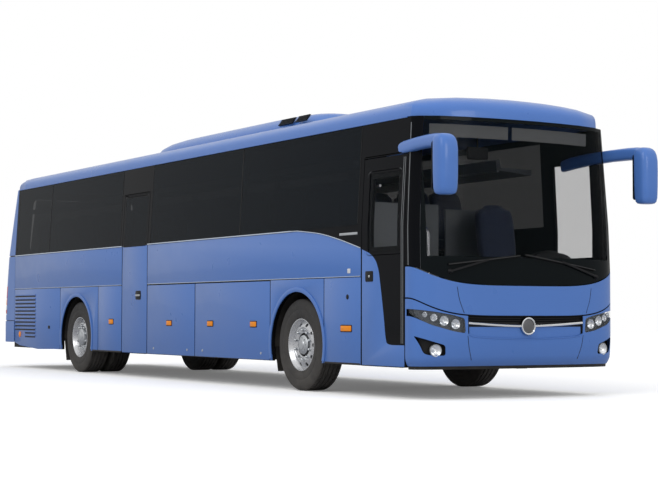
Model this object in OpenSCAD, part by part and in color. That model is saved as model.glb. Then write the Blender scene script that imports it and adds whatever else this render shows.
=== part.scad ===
// Single-deck coach bus with a luggage hold, two plug doors and a rear engine.
// X runs forward, Y to the left and Z up. The origin is on the ground, under the middle of the bus.

/* [Body] */
// Length over the panels, bumper to bumper
body_len = 12430; // [11600:10:15000]
// Width over the side panels
body_w = 2550; // [2400:10:3060]
// How far the mirror heads stand ahead of the nose
mirror_reach = 460; // [300:10:560]
// Thickness of the side walls, doors and flaps
wall_t = 45; // [35:1:54]
// Thickness of the bonded glass
glass_t = 10; // [6:1:14]
// Open seam round doors, flaps and panes
seam = 10; // [8:1:12]

/* [Levels] */
// Lower edge of the side skirt
skirt_z = 320; // [260:5:380]
// Upper edge of the luggage flaps, where the passenger floor lies
flap_z = 1240; // [1200:5:1300]
// Lower edge of the side glass
belt_z = 1780; // [1680:5:1900]
// Upper edge of the side glass
cant_z = 2850; // [2700:10:3000]
// Rise of the roof from the upper edge of the glass
roof_rise = 250; // [200:5:300]
// How far the side leans in between the belt and the upper edge of the glass
side_lean = 60; // [40:1:75]
// How far the nose leans back at the upper edge of the windscreen
nose_lean = 40; // [20:1:60]
// How far the tail leans forward at the upper edge of the rear window
tail_lean = 350; // [200:5:400]

/* [Axles and wheels] */
// Nose to the front axle
front_overhang = 2550; // [2400:10:2900]
// Front axle to rear axle
wheelbase = 6600; // [6000:10:7920]
// Radius of the tyres, which is the height of the axles
tyre_r = 512; // [480:1:530]
// Width of one tyre
tyre_w = 295; // [250:1:310]
// Clear space between the twin rear tyres
twin_gap = 50; // [35:1:60]
// Body side to the outer face of the tyres
tyre_inset = 40; // [30:1:70]
// Radius of the wheel arch opening in the side
arch_r = 590; // [575:1:600]

/* [Doors and flaps] */
// Width of the front door
front_door_w = 835; // [700:5:880]
// Nose to the front edge of the front door
front_door_from_nose = 340; // [330:5:380]
// Width of the middle door
mid_door_w = 855; // [700:5:880]
// Rear axle to the rear edge of the middle door
mid_door_from_axle = 1674; // [1600:5:1900]
// Top of both doors
door_top_z = 2477; // [2300:5:2560]
// Length of the rear luggage flap
rear_flap_w = 1465; // [1000:5:1600]
// Reach of the door arms from post to leaf pivot
arm_reach = 440; // [400:5:450]

/* [Cabin] */
// Distance between seat rows
seat_pitch = 780; // [740:5:900]
// Width of the aisle
aisle_w = 380; // [340:5:460]

/* [Hidden] */
$fn = 48;
e = 0.5;
x_tail = -(body_len + mirror_reach) / 2;
x_nose = x_tail + body_len;
front_x = x_nose - front_overhang;
rear_x = front_x - wheelbase;
half_w = body_w / 2;
cant_w = half_w - side_lean;
tail_depth = 250;
axle_z = tyre_r;
rim_r = 286;
bore_r = 60;
spindle_gap = 0.05;
chin_z = 335;
side_front_x = x_nose - front_door_from_nose;
side_back_x = x_tail + tail_depth + tail_lean + 15;
nose_end_x = side_front_x + 15;
front_door_x1 = side_front_x;
front_door_x0 = side_front_x - front_door_w;
mid_door_x0 = rear_x + mid_door_from_axle;
mid_door_x1 = mid_door_x0 + mid_door_w;
bay_x0 = mid_door_x1;
bay_x1 = front_x - arch_r - 30;
flap_split_x = bay_x0 + rear_flap_w;
floor_t = 50;
floor_z = flap_z;
rail_y = 430;
rail_w = 80;
rail_z0 = 740;
rail_z1 = 880;
cab_floor_z = rail_z1 + floor_t + 0.3;
cab_floor_x0 = front_door_x0 - 60;
driver_floor_x0 = front_door_x0 - 620;
driver_floor_y0 = -120;
front_frame_z0 = 300;
front_frame_z1 = 380;
bay_floor_z = 400;
bay_floor_t = 40;
inner_w = half_w - wall_t;
wheel_y_front = half_w - tyre_inset - tyre_w / 2;
kingpin_y = wheel_y_front - 95;
wheel_y_outer = half_w - tyre_inset - tyre_w / 2;
wheel_y_inner = wheel_y_outer - tyre_w - twin_gap;
windscreen_t = 68;
screen_low_z = 1150;
screen_low_rise = 185;
screen_seam = 2.5;
hood_low_z = 840;
hood_low_rise = 175;
hatch_half_w = 880;
hatch_z0 = 800;
hatch_z1 = 1620;
rear_window_half_w = 860;
rear_window_z0 = 1900;
rear_window_z1 = 2700;
pane_split_rear = side_back_x + 1520;
pane_split_front = bay_x0 + 2671;
leaf_pin_inset = 90;
post_r = 20;
pin_r = 11;
hinge_r = seam / 2 - 0.3;
flap_hinge_z = flap_z - seam / 2;
flap_hinge_y = half_w - seam / 2;
hatch_seam = seam * 1.6;
hatch_hinge_z = hatch_z1 - hatch_seam / 2;
hatch_hinge_in = 14;

// ---- outline of the body ----

function mix(a, b, k) = a + (b - a) * k;
function clamp(v, lo, hi) = min(max(v, lo), hi);
// half width of the side at height z
function side_y(z) = half_w - side_lean * clamp((z - belt_z) / (cant_z - belt_z), 0, 1);
// 0 at the belt of the nose, 1 at the upper edge of the windscreen
function nose_k(z) = clamp((z - 1300) / (cant_z - 1300), 0, 1);
// power of the superellipse that rounds the plan of the nose
function nose_n(z) = mix(3, 2, nose_k(z));
function nose_x(z) = x_nose - nose_lean * nose_k(z) - 60 * clamp((700 - z) / 400, 0, 1) ^ 2;
function nose_depth(z) = nose_x(z) - nose_end_x;
function tail_x(z) = x_tail + tail_lean * clamp((z - 900) / (cant_z - 900), 0, 1) ^ 1.25;

// point of the nose at angle t (0 straight ahead, 90 at the side), height z and inset i
function nose_pt(t, z, i = 0) =
    let (n = nose_n(z), d = nose_depth(z), a = min(abs(t), 90))
    [
        abs(t) > 90 ? side_front_x + 0.3 : nose_x(z) - d + (d - i) * cos(a) ^ (2 / n),
        sign(t) * (side_y(z) - i) * sin(a) ^ (2 / n),
        z
    ];

// point of the tail at angle t (0 straight back, 90 at the side)
function tail_pt(t, z, i = 0) =
    let (a = min(abs(t), 90))
    [
        abs(t) > 90 ? side_back_x : tail_x(z) + tail_depth - (tail_depth - i) * cos(a) ^ (2 / 3),
        sign(t) * (side_y(z) - i) * sin(a) ^ (2 / 3),
        z
    ];

// half of the cross-section as points from z0 up to z1, at inset i
function section_half(i, z0, z1) = [
    [side_y(z0) - i, z0],
    if (z0 < belt_z && z1 > belt_z) [side_y(belt_z) - i, belt_z],
    [side_y(z1) - i, z1],
];

// closed shell between two grids of points that run the same way
module grid_shell(outer, inner) {
    rows = len(outer);
    cols = len(outer[0]);
    flat_pts = [for (g = [outer, inner]) for (row = g) for (p = row) p];
    base = rows * cols;
    top = [
        for (r = [0:rows - 2], c = [0:cols - 2])
            let (a = r * cols + c, b = a + 1, d = a + cols, f = d + 1)
            each [[a, d, b], [b, d, f]]
    ];
    bottom = [for (t = top) [t[0] + base, t[2] + base, t[1] + base]];
    rim = concat(
        [for (c = [0:cols - 2]) c],
        [for (r = [0:rows - 2]) r * cols + cols - 1],
        [for (c = [cols - 1:-1:1]) (rows - 1) * cols + c],
        [for (r = [rows - 1:-1:1]) r * cols]
    );
    skirt = [
        for (k = [0:len(rim) - 1])
            let (a = rim[k], b = rim[(k + 1) % len(rim)])
            each [[a, b, a + base], [b, b + base, a + base]]
    ];
    polyhedron(points = flat_pts, faces = concat(top, bottom, skirt));
}

// patch of the nose between two heights, which are functions of the angle
module nose_patch(ts, low, high, i0, i1, steps = 6) {
    grid_shell(
        [for (k = [0:steps]) [for (t = ts) nose_pt(t, mix(low(t), high(t), k / steps), i0)]],
        [for (k = [0:steps]) [for (t = ts) nose_pt(t, mix(low(t), high(t), k / steps), i1)]]
    );
}

module tail_patch(ts, z0, z1, i0, i1, steps = 8) {
    grid_shell(
        [for (k = [0:steps]) [for (t = ts) tail_pt(t, mix(z0, z1, k / steps), i1)]],
        [for (k = [0:steps]) [for (t = ts) tail_pt(t, mix(z0, z1, k / steps), i0)]]
    );
}

// one side's layer between insets i0 and i1, side +1 left and -1 right
module side_layer(side, x0, x1, z0, z1, i0, i1) {
    outer = section_half(i0, z0, z1);
    inner = section_half(i1, z0, z1);
    pts = concat(outer, [for (k = [len(inner) - 1:-1:0]) inner[k]]);
    translate([x0, 0, 0])
        rotate([90, 0, 90])
            linear_extrude(x1 - x0)
                polygon([for (p = pts) [side * p[0], p[1]]]);
}

module box(lo, hi) {
    translate(lo) cube(hi - lo);
}

// cylinder along Y, centred on y
module y_cyl(x, y, z, r, w) {
    translate([x, y - w / 2, z]) rotate([-90, 0, 0]) cylinder(r = r, h = w);
}

// ---- side walls ----

// panes of one side as [x0, x1]
function right_panes() = [
    [side_back_x + 60, pane_split_rear],
    [pane_split_rear, mid_door_x0 - 70],
    [mid_door_x1 + 70, pane_split_front],
    [pane_split_front, front_door_x0 - 70]
];
function left_panes() = [
    [side_back_x + 60, pane_split_rear],
    [pane_split_rear, mid_door_x0 - 70],
    [mid_door_x0 - 70, mid_door_x1 + 1200],
    [mid_door_x1 + 1200, pane_split_front],
    [pane_split_front, front_door_x0 - 70]
];
driver_pane_z0 = 1420;
driver_pane_z1 = 2560;

module arch_cut(x, side) {
    y_cyl(x, side * (half_w - wall_t / 2), axle_z, arch_r, wall_t * 3);
    box([x - arch_r + 12, side > 0 ? half_w - wall_t * 2 : -half_w - wall_t, -1],
        [x + arch_r - 12, side > 0 ? half_w + wall_t : -half_w + wall_t * 2, axle_z - 110]);
}

module pane_cuts(side, x0, x1, z0, z1) {
    frame_w = 55;
    intersection() {
        side_layer(side, side_back_x, side_front_x, skirt_z, cant_z, -wall_t, glass_t + e);
        box([x0 + seam / 4, -body_w, z0 + seam / 4], [x1 - seam / 4, body_w, z1 - seam / 4]);
    }
    box([x0 + frame_w, side > 0 ? 0 : -body_w, z0 + frame_w],
        [x1 - frame_w, side > 0 ? body_w : 0, z1 - frame_w]);
}

module side_cut(side, x0, x1, z0, z1) {
    box([x0, side > 0 ? half_w - side_lean - wall_t * 3 : -body_w, z0],
        [x1, side > 0 ? body_w : -half_w + side_lean + wall_t * 3, z1]);
}

module side_wall(side, panes, doors, flaps) {
    difference() {
        side_layer(side, side_back_x, side_front_x, skirt_z, cant_z, 0, wall_t);
        for (p = panes) pane_cuts(side, p[0] + 6, p[1] - 6, belt_z + 8, cant_z - 15);
        if (side > 0)
            pane_cuts(side, front_door_x0 + 20, front_door_x1 - 70, driver_pane_z0, driver_pane_z1);
        for (d = doors) side_cut(side, d[0], d[1], 0, door_top_z);
        for (f = flaps) side_cut(side, f[0], f[1], 0, flap_z);
        arch_cut(front_x, side);
        arch_cut(rear_x, side);
    }
}

module right_side_wall() {
    color("cornflowerblue")
        side_wall(-1, right_panes(),
            [[front_door_x0, front_door_x1 + e], [mid_door_x0, mid_door_x1]],
            [[bay_x0, bay_x1]]);
}

module left_side_wall() {
    color("cornflowerblue") side_wall(1, left_panes(), [], [[bay_x0, bay_x1]]);
}

module side_glass(side, panes) {
    for (p = panes)
        side_layer(side, p[0] + seam, p[1] - seam, belt_z + 12, cant_z - 19, 0, glass_t);
}

module right_side_glass() {
    color([0.05, 0.06, 0.07]) side_glass(-1, right_panes());
}

module left_side_glass() {
    color([0.05, 0.06, 0.07]) {
        side_glass(1, left_panes());
        side_layer(1, front_door_x0 + 24, front_door_x1 - 74,
            driver_pane_z0 + 4, driver_pane_z1 - 4, 0, glass_t);
    }
}

// ---- roof ----

roof_n = 3;
roof_front_run = 620;
roof_rear_run = 380;

// closed plan ring of the roof at slope angle a, at inset i
function roof_ring(a, i) =
    let (
        c = cos(a) ^ (2 / roof_n),
        s = sin(a) ^ (2 / roof_n),
        w = (cant_w - i) * c,
        z = cant_z + (roof_rise - i) * s,
        depth = nose_depth(cant_z),
        front = nose_x(cant_z) - i - roof_front_run * (1 - c),
        back = tail_x(cant_z) + i + roof_rear_run * (1 - c)
    )
    concat(
        [for (t = [-90:15:90]) [
            front - depth + depth * cos(t),
            w * sin(t), z]],
        [for (t = [90:-15:-90]) [
            back + tail_depth - tail_depth * cos(t) ^ (2 / 3),
            sign(t) * w * abs(sin(t)) ^ (2 / 3), z]]
    );

module ring_solid(rings) {
    n = len(rings[0]);
    m = len(rings);
    pts = [for (r = rings) each r];
    sides = [
        for (k = [0:m - 2], j = [0:n - 1])
            let (a = k * n + j, b = k * n + (j + 1) % n)
            each [[a, a + n, b], [b, a + n, b + n]]
    ];
    polyhedron(
        points = pts,
        faces = concat([[for (j = [0:n - 1]) j]], sides, [[for (j = [n - 1:-1:0]) (m - 1) * n + j]])
    );
}

module roof_panel() {
    slopes = [0, 12, 26, 40, 54, 66, 78];
    color("cornflowerblue")
        difference() {
            ring_solid([for (a = slopes) roof_ring(a, 0)]);
            ring_solid([
                for (a = slopes) [for (p = roof_ring(a, wall_t)) [p[0], p[1], a == 0 ? p[2] - 1 : p[2]]]
            ]);
        }
}

ac_x0 = bay_x0 - 1030;
ac_x1 = ac_x0 + 4750;
ac_half_w = 880;
ac_top_z = cant_z + roof_rise + 165;
module air_conditioner() {
    foot = cant_z + roof_rise * 0.8;
    color("cornflowerblue")
        intersection() {
            translate([0, ac_half_w, 0])
                rotate([90, 0, 0])
                    linear_extrude(2 * ac_half_w)
                        polygon([
                            [ac_x0, foot], [ac_x0 + 130, ac_top_z - 90], [ac_x0 + 620, ac_top_z - 25],
                            [ac_x0 + 2300, ac_top_z - 30], [ac_x0 + 2600, ac_top_z],
                            [ac_x1 - 1500, ac_top_z], [ac_x1 - 600, ac_top_z - 40],
                            [ac_x1 - 80, ac_top_z - 110], [ac_x1, foot]
                        ]);
            translate([ac_x0 - 1, 0, 0])
                rotate([90, 0, 90])
                    linear_extrude(ac_x1 - ac_x0 + 2)
                        difference() {
                            polygon([
                                [-ac_half_w, foot], [-ac_half_w + 60, ac_top_z - 70],
                                [-ac_half_w + 330, ac_top_z], [ac_half_w - 330, ac_top_z],
                                [ac_half_w - 60, ac_top_z - 70], [ac_half_w, foot]
                            ]);
                            polygon(concat(
                                [for (a = [0:6:180]) [
                                    sign(cos(a)) * (cant_w + 0.3) * abs(cos(a)) ^ (2 / roof_n),
                                    cant_z + (roof_rise + 0.3) * abs(sin(a)) ^ (2 / roof_n)]],
                                [[-cant_w, 0], [cant_w, 0]]
                            ));
                        }
        }
}

// ---- nose ----

all_t = [-91, -90, -84, -76, -68, -58, -46, -34, -20, 0, 20, 34, 46, 58, 68, 76, 84, 90, 91];
mid_t = [for (t = all_t) if (abs(t) <= windscreen_t) t];

// lower edge of the windscreen rises towards the corners
screen_low = function (t) screen_low_z + screen_low_rise * (abs(sin(clamp(t, -90, 90)))) ^ 3;
// seam between the hood and the bumper
hood_low = function (t) hood_low_z + hood_low_rise * (abs(sin(clamp(t, -90, 90)))) ^ 4;
nose_top = function (t) cant_z - 0.3;

module windshield() {
    color([0.06, 0.07, 0.08])
        nose_patch(mid_t, function (t) screen_low(t) + screen_seam, nose_top, 0, glass_t, 8);
}

module corner_pillars() {
    low = function (t) screen_low(t) + screen_seam;
    color([0.03, 0.03, 0.03])
        for (side = [-1, 1])
            nose_patch(
                side > 0 ? [windscreen_t + 0.05, 76, 84, 90, 91]
                         : [-91, -90, -84, -76, -windscreen_t - 0.05],
                low, nose_top, 0, wall_t, 8);
}

module front_mask() {
    color("cornflowerblue")
        nose_patch(all_t, function (t) hood_low(t) + seam / 2, screen_low, 0, wall_t, 4);
}

// lamp, grille and fog recesses as boxes in front view, cut right through the bumper
grille_half_w = 730;
lamp_y0 = 740;
lamp_y1 = 1235;
module bumper_recesses(grow) {
    for (s = [-1, 1]) {
        translate([x_nose, s * (lamp_y0 + lamp_y1) / 2, 790])
            cube([1200, lamp_y1 - lamp_y0 + 2 * grow, 190 + 2 * grow], center = true);
        translate([x_nose, s * 1085, 490])
            rotate([0, -90, 0])
                cylinder(r = 95 + grow, h = 1200, center = true);
    }
    translate([x_nose, 0, 780])
        cube([1200, 2 * grille_half_w - 40 + 2 * grow, 150 + 2 * grow], center = true);
}

module front_bumper() {
    color("cornflowerblue")
        difference() {
            nose_patch(all_t, function (t) chin_z, function (t) hood_low(t) - seam / 2, 0, wall_t, 6);
            bumper_recesses(0);
        }
}

module nose_insert(i0, i1) {
    nose_patch(all_t, function (t) chin_z + 20, function (t) hood_low(t) - seam, i0, i1, 4);
}

module grille() {
    color([0.08, 0.08, 0.09])
        intersection() {
            nose_insert(12, wall_t);
            translate([x_nose, 0, 780]) cube([1200, 2 * grille_half_w - 40.6, 149.4], center = true);
        }
}

module headlights() {
    color("whitesmoke")
        for (s = [-1, 1])
            intersection() {
                nose_insert(6, wall_t + 20);
                translate([x_nose, s * (lamp_y0 + lamp_y1) / 2, 790])
                    cube([1200, lamp_y1 - lamp_y0 - 0.6, 189.4], center = true);
            }
}

module fog_lights() {
    color("whitesmoke")
        for (s = [-1, 1])
            intersection() {
                nose_insert(10, wall_t + 20);
                translate([x_nose, s * 1085, 490])
                    rotate([0, -90, 0])
                        cylinder(r = 94.7, h = 1200, center = true);
            }
}

// ---- tail ----

tail_t = [-91, -90, -80, -68, -55, -40, -22, 0, 22, 40, 55, 68, 80, 90, 91];
tail_low_z = 400;
lamp_z0 = 850;
lamp_z1 = 1300;

module tail_cut(half_y, z0, z1) {
    box([x_tail - 100, -half_y, z0], [side_back_x, half_y, z1]);
}

module tail_lamp_zone(shrink) {
    for (s = [-1, 1])
        translate([x_tail + 60, s * (half_w - 70), (lamp_z0 + lamp_z1) / 2])
            cube([400 - 2 * shrink, 260 - 2 * shrink, lamp_z1 - lamp_z0 - 2 * shrink], center = true);
}

module rear_wall() {
    color("cornflowerblue")
        difference() {
            tail_patch(tail_t, tail_low_z, cant_z, 0, wall_t);
            tail_cut(hatch_half_w, hatch_z0, hatch_z1);
            tail_cut(rear_window_half_w, rear_window_z0, rear_window_z1);
            tail_lamp_zone(0);
        }
}

module engine_hatch() {
    barrel = 160;
    hinge_x = tail_x(hatch_hinge_z) + hatch_hinge_in;
    color("cornflowerblue")
        for (s = [-1, 1]) {
            translate([hinge_x, s * 450 - barrel / 2, hatch_hinge_z])
                rotate([-90, 0, 0])
                    cylinder(r = hatch_seam / 2 - 0.3, h = barrel);
            translate([hinge_x - 3, s * 450 - barrel / 2, hatch_z1 - hatch_seam - 12])
                cube([6, barrel, hatch_seam / 2 + 12]);
        }
    color("cornflowerblue")
        intersection() {
            tail_patch(tail_t, tail_low_z, cant_z, 0, wall_t);
            tail_cut(hatch_half_w - seam, hatch_z0 + seam, hatch_z1 - hatch_seam - 1);
        }
}

module rear_window() {
    color([0.05, 0.06, 0.07])
        intersection() {
            tail_patch(tail_t, tail_low_z, cant_z, 0, glass_t);
            tail_cut(rear_window_half_w - 0.3, rear_window_z0 + 0.3, rear_window_z1 - 0.3);
        }
}

module tail_lights() {
    color("firebrick")
        intersection() {
            tail_patch(tail_t, tail_low_z, cant_z, 2, wall_t);
            tail_lamp_zone(0.3);
        }
}

// marker lamps on the fixed side panels as [middle x, middle z, length]
module side_markers() {
    marker_t = 8;
    color("orange")
        for (s = [-1, 1], m = [[mid_door_x0 - 370, 745, 140], [front_x + arch_r + 485, 702, 220]])
            translate([m[0] - m[2] / 2, s > 0 ? half_w + 0.3 : -half_w - 0.3 - marker_t, m[1] - 30])
                cube([m[2], marker_t, 60]);
}

// ---- structure under the floor ----

bay_low_z = 330;
front_rail_x1 = cab_floor_x0 - 40;
front_frame_x1 = x_nose - 300;
rear_rail_x0 = x_tail + 420;
tow_r = 21;
tow_t = 60;
tow_reach = 200;
rear_tow_z = 480;
bay_post_x = bay_x1 - 110;

module cross_bar(x, z0, z1, y = inner_w - 1) {
    box([x - 40, -y, z0], [x + 40, y, z1]);
}

module rail_pair(x0, x1, z0, z1) {
    for (s = [-1, 1]) box([x0, s * rail_y - rail_w / 2, z0], [x1, s * rail_y + rail_w / 2, z1]);
}

module bay_chassis_frame() {
    post_xs = [bay_post_x, mid_door_x0 - 100];
    color([0.12, 0.12, 0.13])
        union() {
            rail_pair(mid_door_x0 - 100, bay_post_x + 80, bay_low_z, bay_floor_z - bay_floor_t);
            for (x = post_xs) {
                rail_pair(x, x + 80, bay_low_z, floor_z - floor_t);
                cross_bar(x + 40, rail_z1 - 80, rail_z1);
                cross_bar(x + 40, bay_low_z, bay_low_z + 60);
            }
        }
}

module front_chassis_frame() {
    tow_x = front_frame_x1 + tow_reach;
    upright_x = front_x + 700;
    color([0.12, 0.12, 0.13])
        difference() {
            union() {
                rail_pair(bay_post_x + 80.3, front_rail_x1, rail_z0, rail_z1);
                box([upright_x, -rail_y - rail_w / 2, rail_z1 - e],
                    [upright_x + 80, -rail_y + rail_w / 2, floor_z - floor_t]);
                rail_pair(front_rail_x1 - 80, front_rail_x1, front_frame_z0, rail_z1);
                rail_pair(front_rail_x1 - 80, front_frame_x1, front_frame_z0, front_frame_z1);
                cross_bar(upright_x + 40, rail_z1 - 80, rail_z1);
                cross_bar(front_rail_x1 - 40, rail_z0, rail_z1);
                cross_bar(front_frame_x1 - 40, front_frame_z0, front_frame_z1, 900);
                box([front_frame_x1 - e, -60, front_frame_z0], [tow_x, 60, front_frame_z0 + tow_t]);
            }
            translate([tow_x - 60, 0, front_frame_z0 - 20]) cylinder(r = tow_r, h = 100);
        }
}

module rear_chassis_frame() {
    tow_x = rear_rail_x0 - tow_reach;
    color([0.12, 0.12, 0.13])
        difference() {
            union() {
                rail_pair(rear_rail_x0, mid_door_x0 - 100.3, rail_z0, rail_z1);
                for (x = [rear_x - 760, rear_rail_x0]) {
                    rail_pair(x, x + 80, rail_z1 - e, floor_z - floor_t);
                    cross_bar(x + 40, rail_z1 - 80, rail_z1);
                }
                box([rear_rail_x0, -60, rear_tow_z], [rear_rail_x0 + 80, 60, rail_z0 + e]);
                box([rear_rail_x0, -rail_y, rail_z0], [rear_rail_x0 + 80, rail_y, rail_z1]);
                box([tow_x, -60, rear_tow_z], [rear_rail_x0 + 40, 60, rear_tow_z + tow_t]);
            }
            translate([tow_x + 60, 0, rear_tow_z - 20]) cylinder(r = tow_r, h = 100);
        }
}

module cabin_floor() {
    well_y = -630;
    color([0.25, 0.26, 0.28])
        union() {
            difference() {
                box([side_back_x - 300, -inner_w + 0.3, floor_z - floor_t],
                    [cab_floor_x0, inner_w - 0.3, floor_z]);
                box([driver_floor_x0, driver_floor_y0, 0], [x_nose, body_w, cant_z]);
                box([mid_door_x0 - 5, -body_w, floor_z - 100], [mid_door_x1 + 5, well_y, floor_z + 10]);
            }
            // driver's platform
            box([driver_floor_x0 - 20, driver_floor_y0 - 20, cab_floor_z - floor_t],
                [x_nose - 260, inner_w - 60, cab_floor_z]);
            box([driver_floor_x0 - 20, driver_floor_y0, cab_floor_z - e],
                [driver_floor_x0, inner_w - 60, floor_z - e]);
            box([driver_floor_x0 - 20, driver_floor_y0 - 20, cab_floor_z - e],
                [cab_floor_x0, driver_floor_y0, floor_z - e]);
            // front steps
            for (k = [0:3])
                box([cab_floor_x0 - 20, -1160 + 220 * k, 400 + 200 * k],
                    [x_nose - 360, -1160 + 220 * k + 260, 430 + 200 * k]);
            for (k = [0:2])
                box([cab_floor_x0 - 20, -1160 + 220 * k + 230, 400 + 200 * k],
                    [x_nose - 360, -1160 + 220 * k + 260, 630 + 200 * k]);
            box([cab_floor_x0 - 20, -1160, 400], [cab_floor_x0, driver_floor_y0 - 20, floor_z - e]);
            // middle steps
            for (k = [0:3])
                box([mid_door_x0 - 5, -1160 + 190 * k, 400 + 205 * k],
                    [mid_door_x1 + 5, -1160 + 190 * k + 220, 430 + 205 * k]);
            for (k = [0:2])
                box([mid_door_x0 - 5, -1160 + 190 * k + 190, 400 + 205 * k],
                    [mid_door_x1 + 5, -1160 + 190 * k + 220, 635 + 205 * k]);
            for (x = [mid_door_x0 - 5, mid_door_x1 - 15])
                box([x, -1160, 400], [x + 20, well_y, floor_z - 20]);
        }
}

module luggage_bay() {
    color([0.3, 0.3, 0.32])
        union() {
            box([bay_x0 + 20, -inner_w + 15, bay_floor_z - bay_floor_t + 0.3],
                [bay_x1 - 115, inner_w - 15, bay_floor_z]);
            box([bay_x0 + 20, -inner_w + 15, bay_floor_z - e],
                [bay_x0 + 40, inner_w - 15, floor_z - floor_t - 0.3]);
            box([bay_x1 - 135, -inner_w + 15, bay_floor_z - e],
                [bay_x1 - 115, inner_w - 15, floor_z - floor_t - 0.3]);
        }
}

module wheel_housings() {
    r = arch_r + 30;
    depth_front = 758;
    depth_rear = 758;
    color([0.1, 0.1, 0.1])
        for (s = [-1, 1], w = [[front_x, depth_front], [rear_x, depth_rear]]) {
            y = s * (inner_w - 0.3 - w[1] / 2);
            difference() {
                y_cyl(w[0], y, axle_z, r, w[1]);
                y_cyl(w[0], y + s * 4, axle_z, r - 12, w[1] + 8);
                box([w[0] - r - 1, -body_w, -200], [w[0] + r + 1, body_w, axle_z - 30]);
            }
        }
}

module mudflaps() {
    color([0.04, 0.04, 0.04])
        for (s = [-1, 1], w = [[front_x, 0], [rear_x, -40]])
            translate([w[0] - arch_r - 30, s > 0 ? half_w - 380 : -half_w + 60, 0])
                rotate([90, 0, 0])
                    translate([0, 0, -320])
                        linear_extrude(320)
                            polygon([
                                [0, axle_z - 30.3], [12, axle_z - 30.3],
                                [92, 200 + w[1]], [80, 200 + w[1]]
                            ]);
}

module engine_block() {
    color([0.35, 0.36, 0.38]) box([x_tail + 700, -389.5, 560], [x_tail + 1900, 389.5, 1150]);
}

module fuel_tank() {
    color([0.2, 0.2, 0.22])
        box([front_x + arch_r + 60, -380, 380], [front_x + arch_r + 560, inner_w - 60, rail_z0 - 0.3]);
}

// ---- axles ----

spring_r = 130;
module air_springs() {
    color([0.06, 0.06, 0.06])
        for (s = [-1, 1]) {
            translate([front_x, s * rail_y, axle_z + 65.3])
                cylinder(r = spring_r, h = rail_z0 - axle_z - 65.6);
            for (dx = [-330, 330])
                translate([rear_x + dx, s * rail_y, axle_z + 20.3])
                    cylinder(r = spring_r, h = rail_z0 - axle_z - 20.6);
        }
}

module front_axle() {
    color([0.15, 0.15, 0.16])
        difference() {
            union() {
                box([front_x - 55, -kingpin_y + 70, axle_z - 70],
                    [front_x + 55, kingpin_y - 70, axle_z + 5]);
                for (s = [-1, 1]) {
                    box([front_x - 80, s * rail_y - 90, axle_z - e],
                        [front_x + 80, s * rail_y + 90, axle_z + 65]);
                    box([front_x - 55, s * (kingpin_y - 60) - 60, axle_z - 60],
                        [front_x + 55, s * (kingpin_y - 60) + 60, axle_z + 60]);
                    translate([front_x, s * kingpin_y, axle_z - 60]) cylinder(r = 55, h = 120);
                }
            }
            for (s = [-1, 1])
                translate([front_x, s * kingpin_y, 0]) cylinder(r = 25 + spindle_gap, h = 2000);
        }
}

module knuckle(s) {
    stub_r = 45;
    color([0.2, 0.2, 0.21])
        translate([front_x, s * kingpin_y, axle_z])
            union() {
                translate([0, 0, -110]) cylinder(r = 25, h = 220);
                for (z = [-105, 66])
                    translate([0, 0, z]) cylinder(r = 55, h = 39);
                // fork behind the pin that carries the stub axle
                for (z = [-105, 66])
                    box([-45, min(0, s * 75), z], [45, max(0, s * 75), z + 39]);
                box([-45, min(s * 60, s * 75), -105], [45, max(s * 60, s * 75), 105]);
                rotate([-90 * s, 0, 0])
                    translate([0, 0, 60]) cylinder(r = stub_r, h = wheel_y_front - kingpin_y + 40);
                // steering arm
                box([-230, s * -20 - 15, -105], [0, s * -20 + 15, -80]);
            }
}

module rear_axle() {
    tube_end = wheel_y_outer - 20;
    color([0.15, 0.15, 0.16])
        union() {
            y_cyl(rear_x, 0, axle_z, 75, 2 * (wheel_y_inner - tyre_w / 2 - 40));
            y_cyl(rear_x, 0, axle_z, bore_r, 2 * tube_end);
            translate([rear_x, 0, axle_z]) sphere(r = 210);
            for (s = [-1, 1])
                box([rear_x - 420, s * rail_y - 60, axle_z - 40],
                    [rear_x + 420, s * rail_y + 60, axle_z + 20]);
        }
}

// tyre about the Y axis, centred on its width
module tyre(x, y) {
    h = tyre_w / 2;
    bead = rim_r + 0.3;
    translate([x, y, axle_z])
        rotate([-90, 0, 0])
            rotate_extrude($fn = 72)
                polygon([
                    [bead, -h + 40], [bead + 25, -h + 22], [bead + 90, -h + 2], [bead + 150, -h],
                    [tyre_r - 40, -h + 14], [tyre_r - 10, -h + 30], [tyre_r, -h + 55],
                    [tyre_r, h - 55], [tyre_r - 10, h - 30], [tyre_r - 40, h - 14],
                    [bead + 150, h], [bead + 90, h - 2], [bead + 25, h - 22], [bead, h - 40]
                ]);
}

module front_tyre(s) {
    color([0.05, 0.05, 0.05]) tyre(front_x, s * wheel_y_front);
}

module rear_tyres(s) {
    color([0.05, 0.05, 0.05]) {
        tyre(rear_x, s * wheel_y_outer);
        tyre(rear_x, s * wheel_y_inner);
    }
}

disc_t = 14;
hand_holes = 10;
// rim well with its disc at height d above the middle, hub bore r
module rim(x, y, s, d, bore) {
    h = tyre_w / 2 - 20;
    translate([x, y, axle_z])
        rotate([-90 * s, 0, 0])
            difference() {
                rotate_extrude($fn = 72)
                    polygon([
                        [rim_r - 14, -h], [rim_r + 12, -h], [rim_r + 12, -h + 8], [rim_r, -h + 18],
                        [rim_r, h - 18], [rim_r + 12, h - 8], [rim_r + 12, h], [rim_r - 14, h],
                        [rim_r - 14, d], [190, d + 30], [bore, d + 30], [bore, d + 30 - disc_t],
                        [185, d + 30 - disc_t], [rim_r - 14, d - disc_t]
                    ]);
                for (k = [0:hand_holes - 1])
                    rotate([0, 0, 360 / hand_holes * k])
                        translate([226, 0, d - 60]) cylinder(r = 27, h = 120);
            }
}

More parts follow.
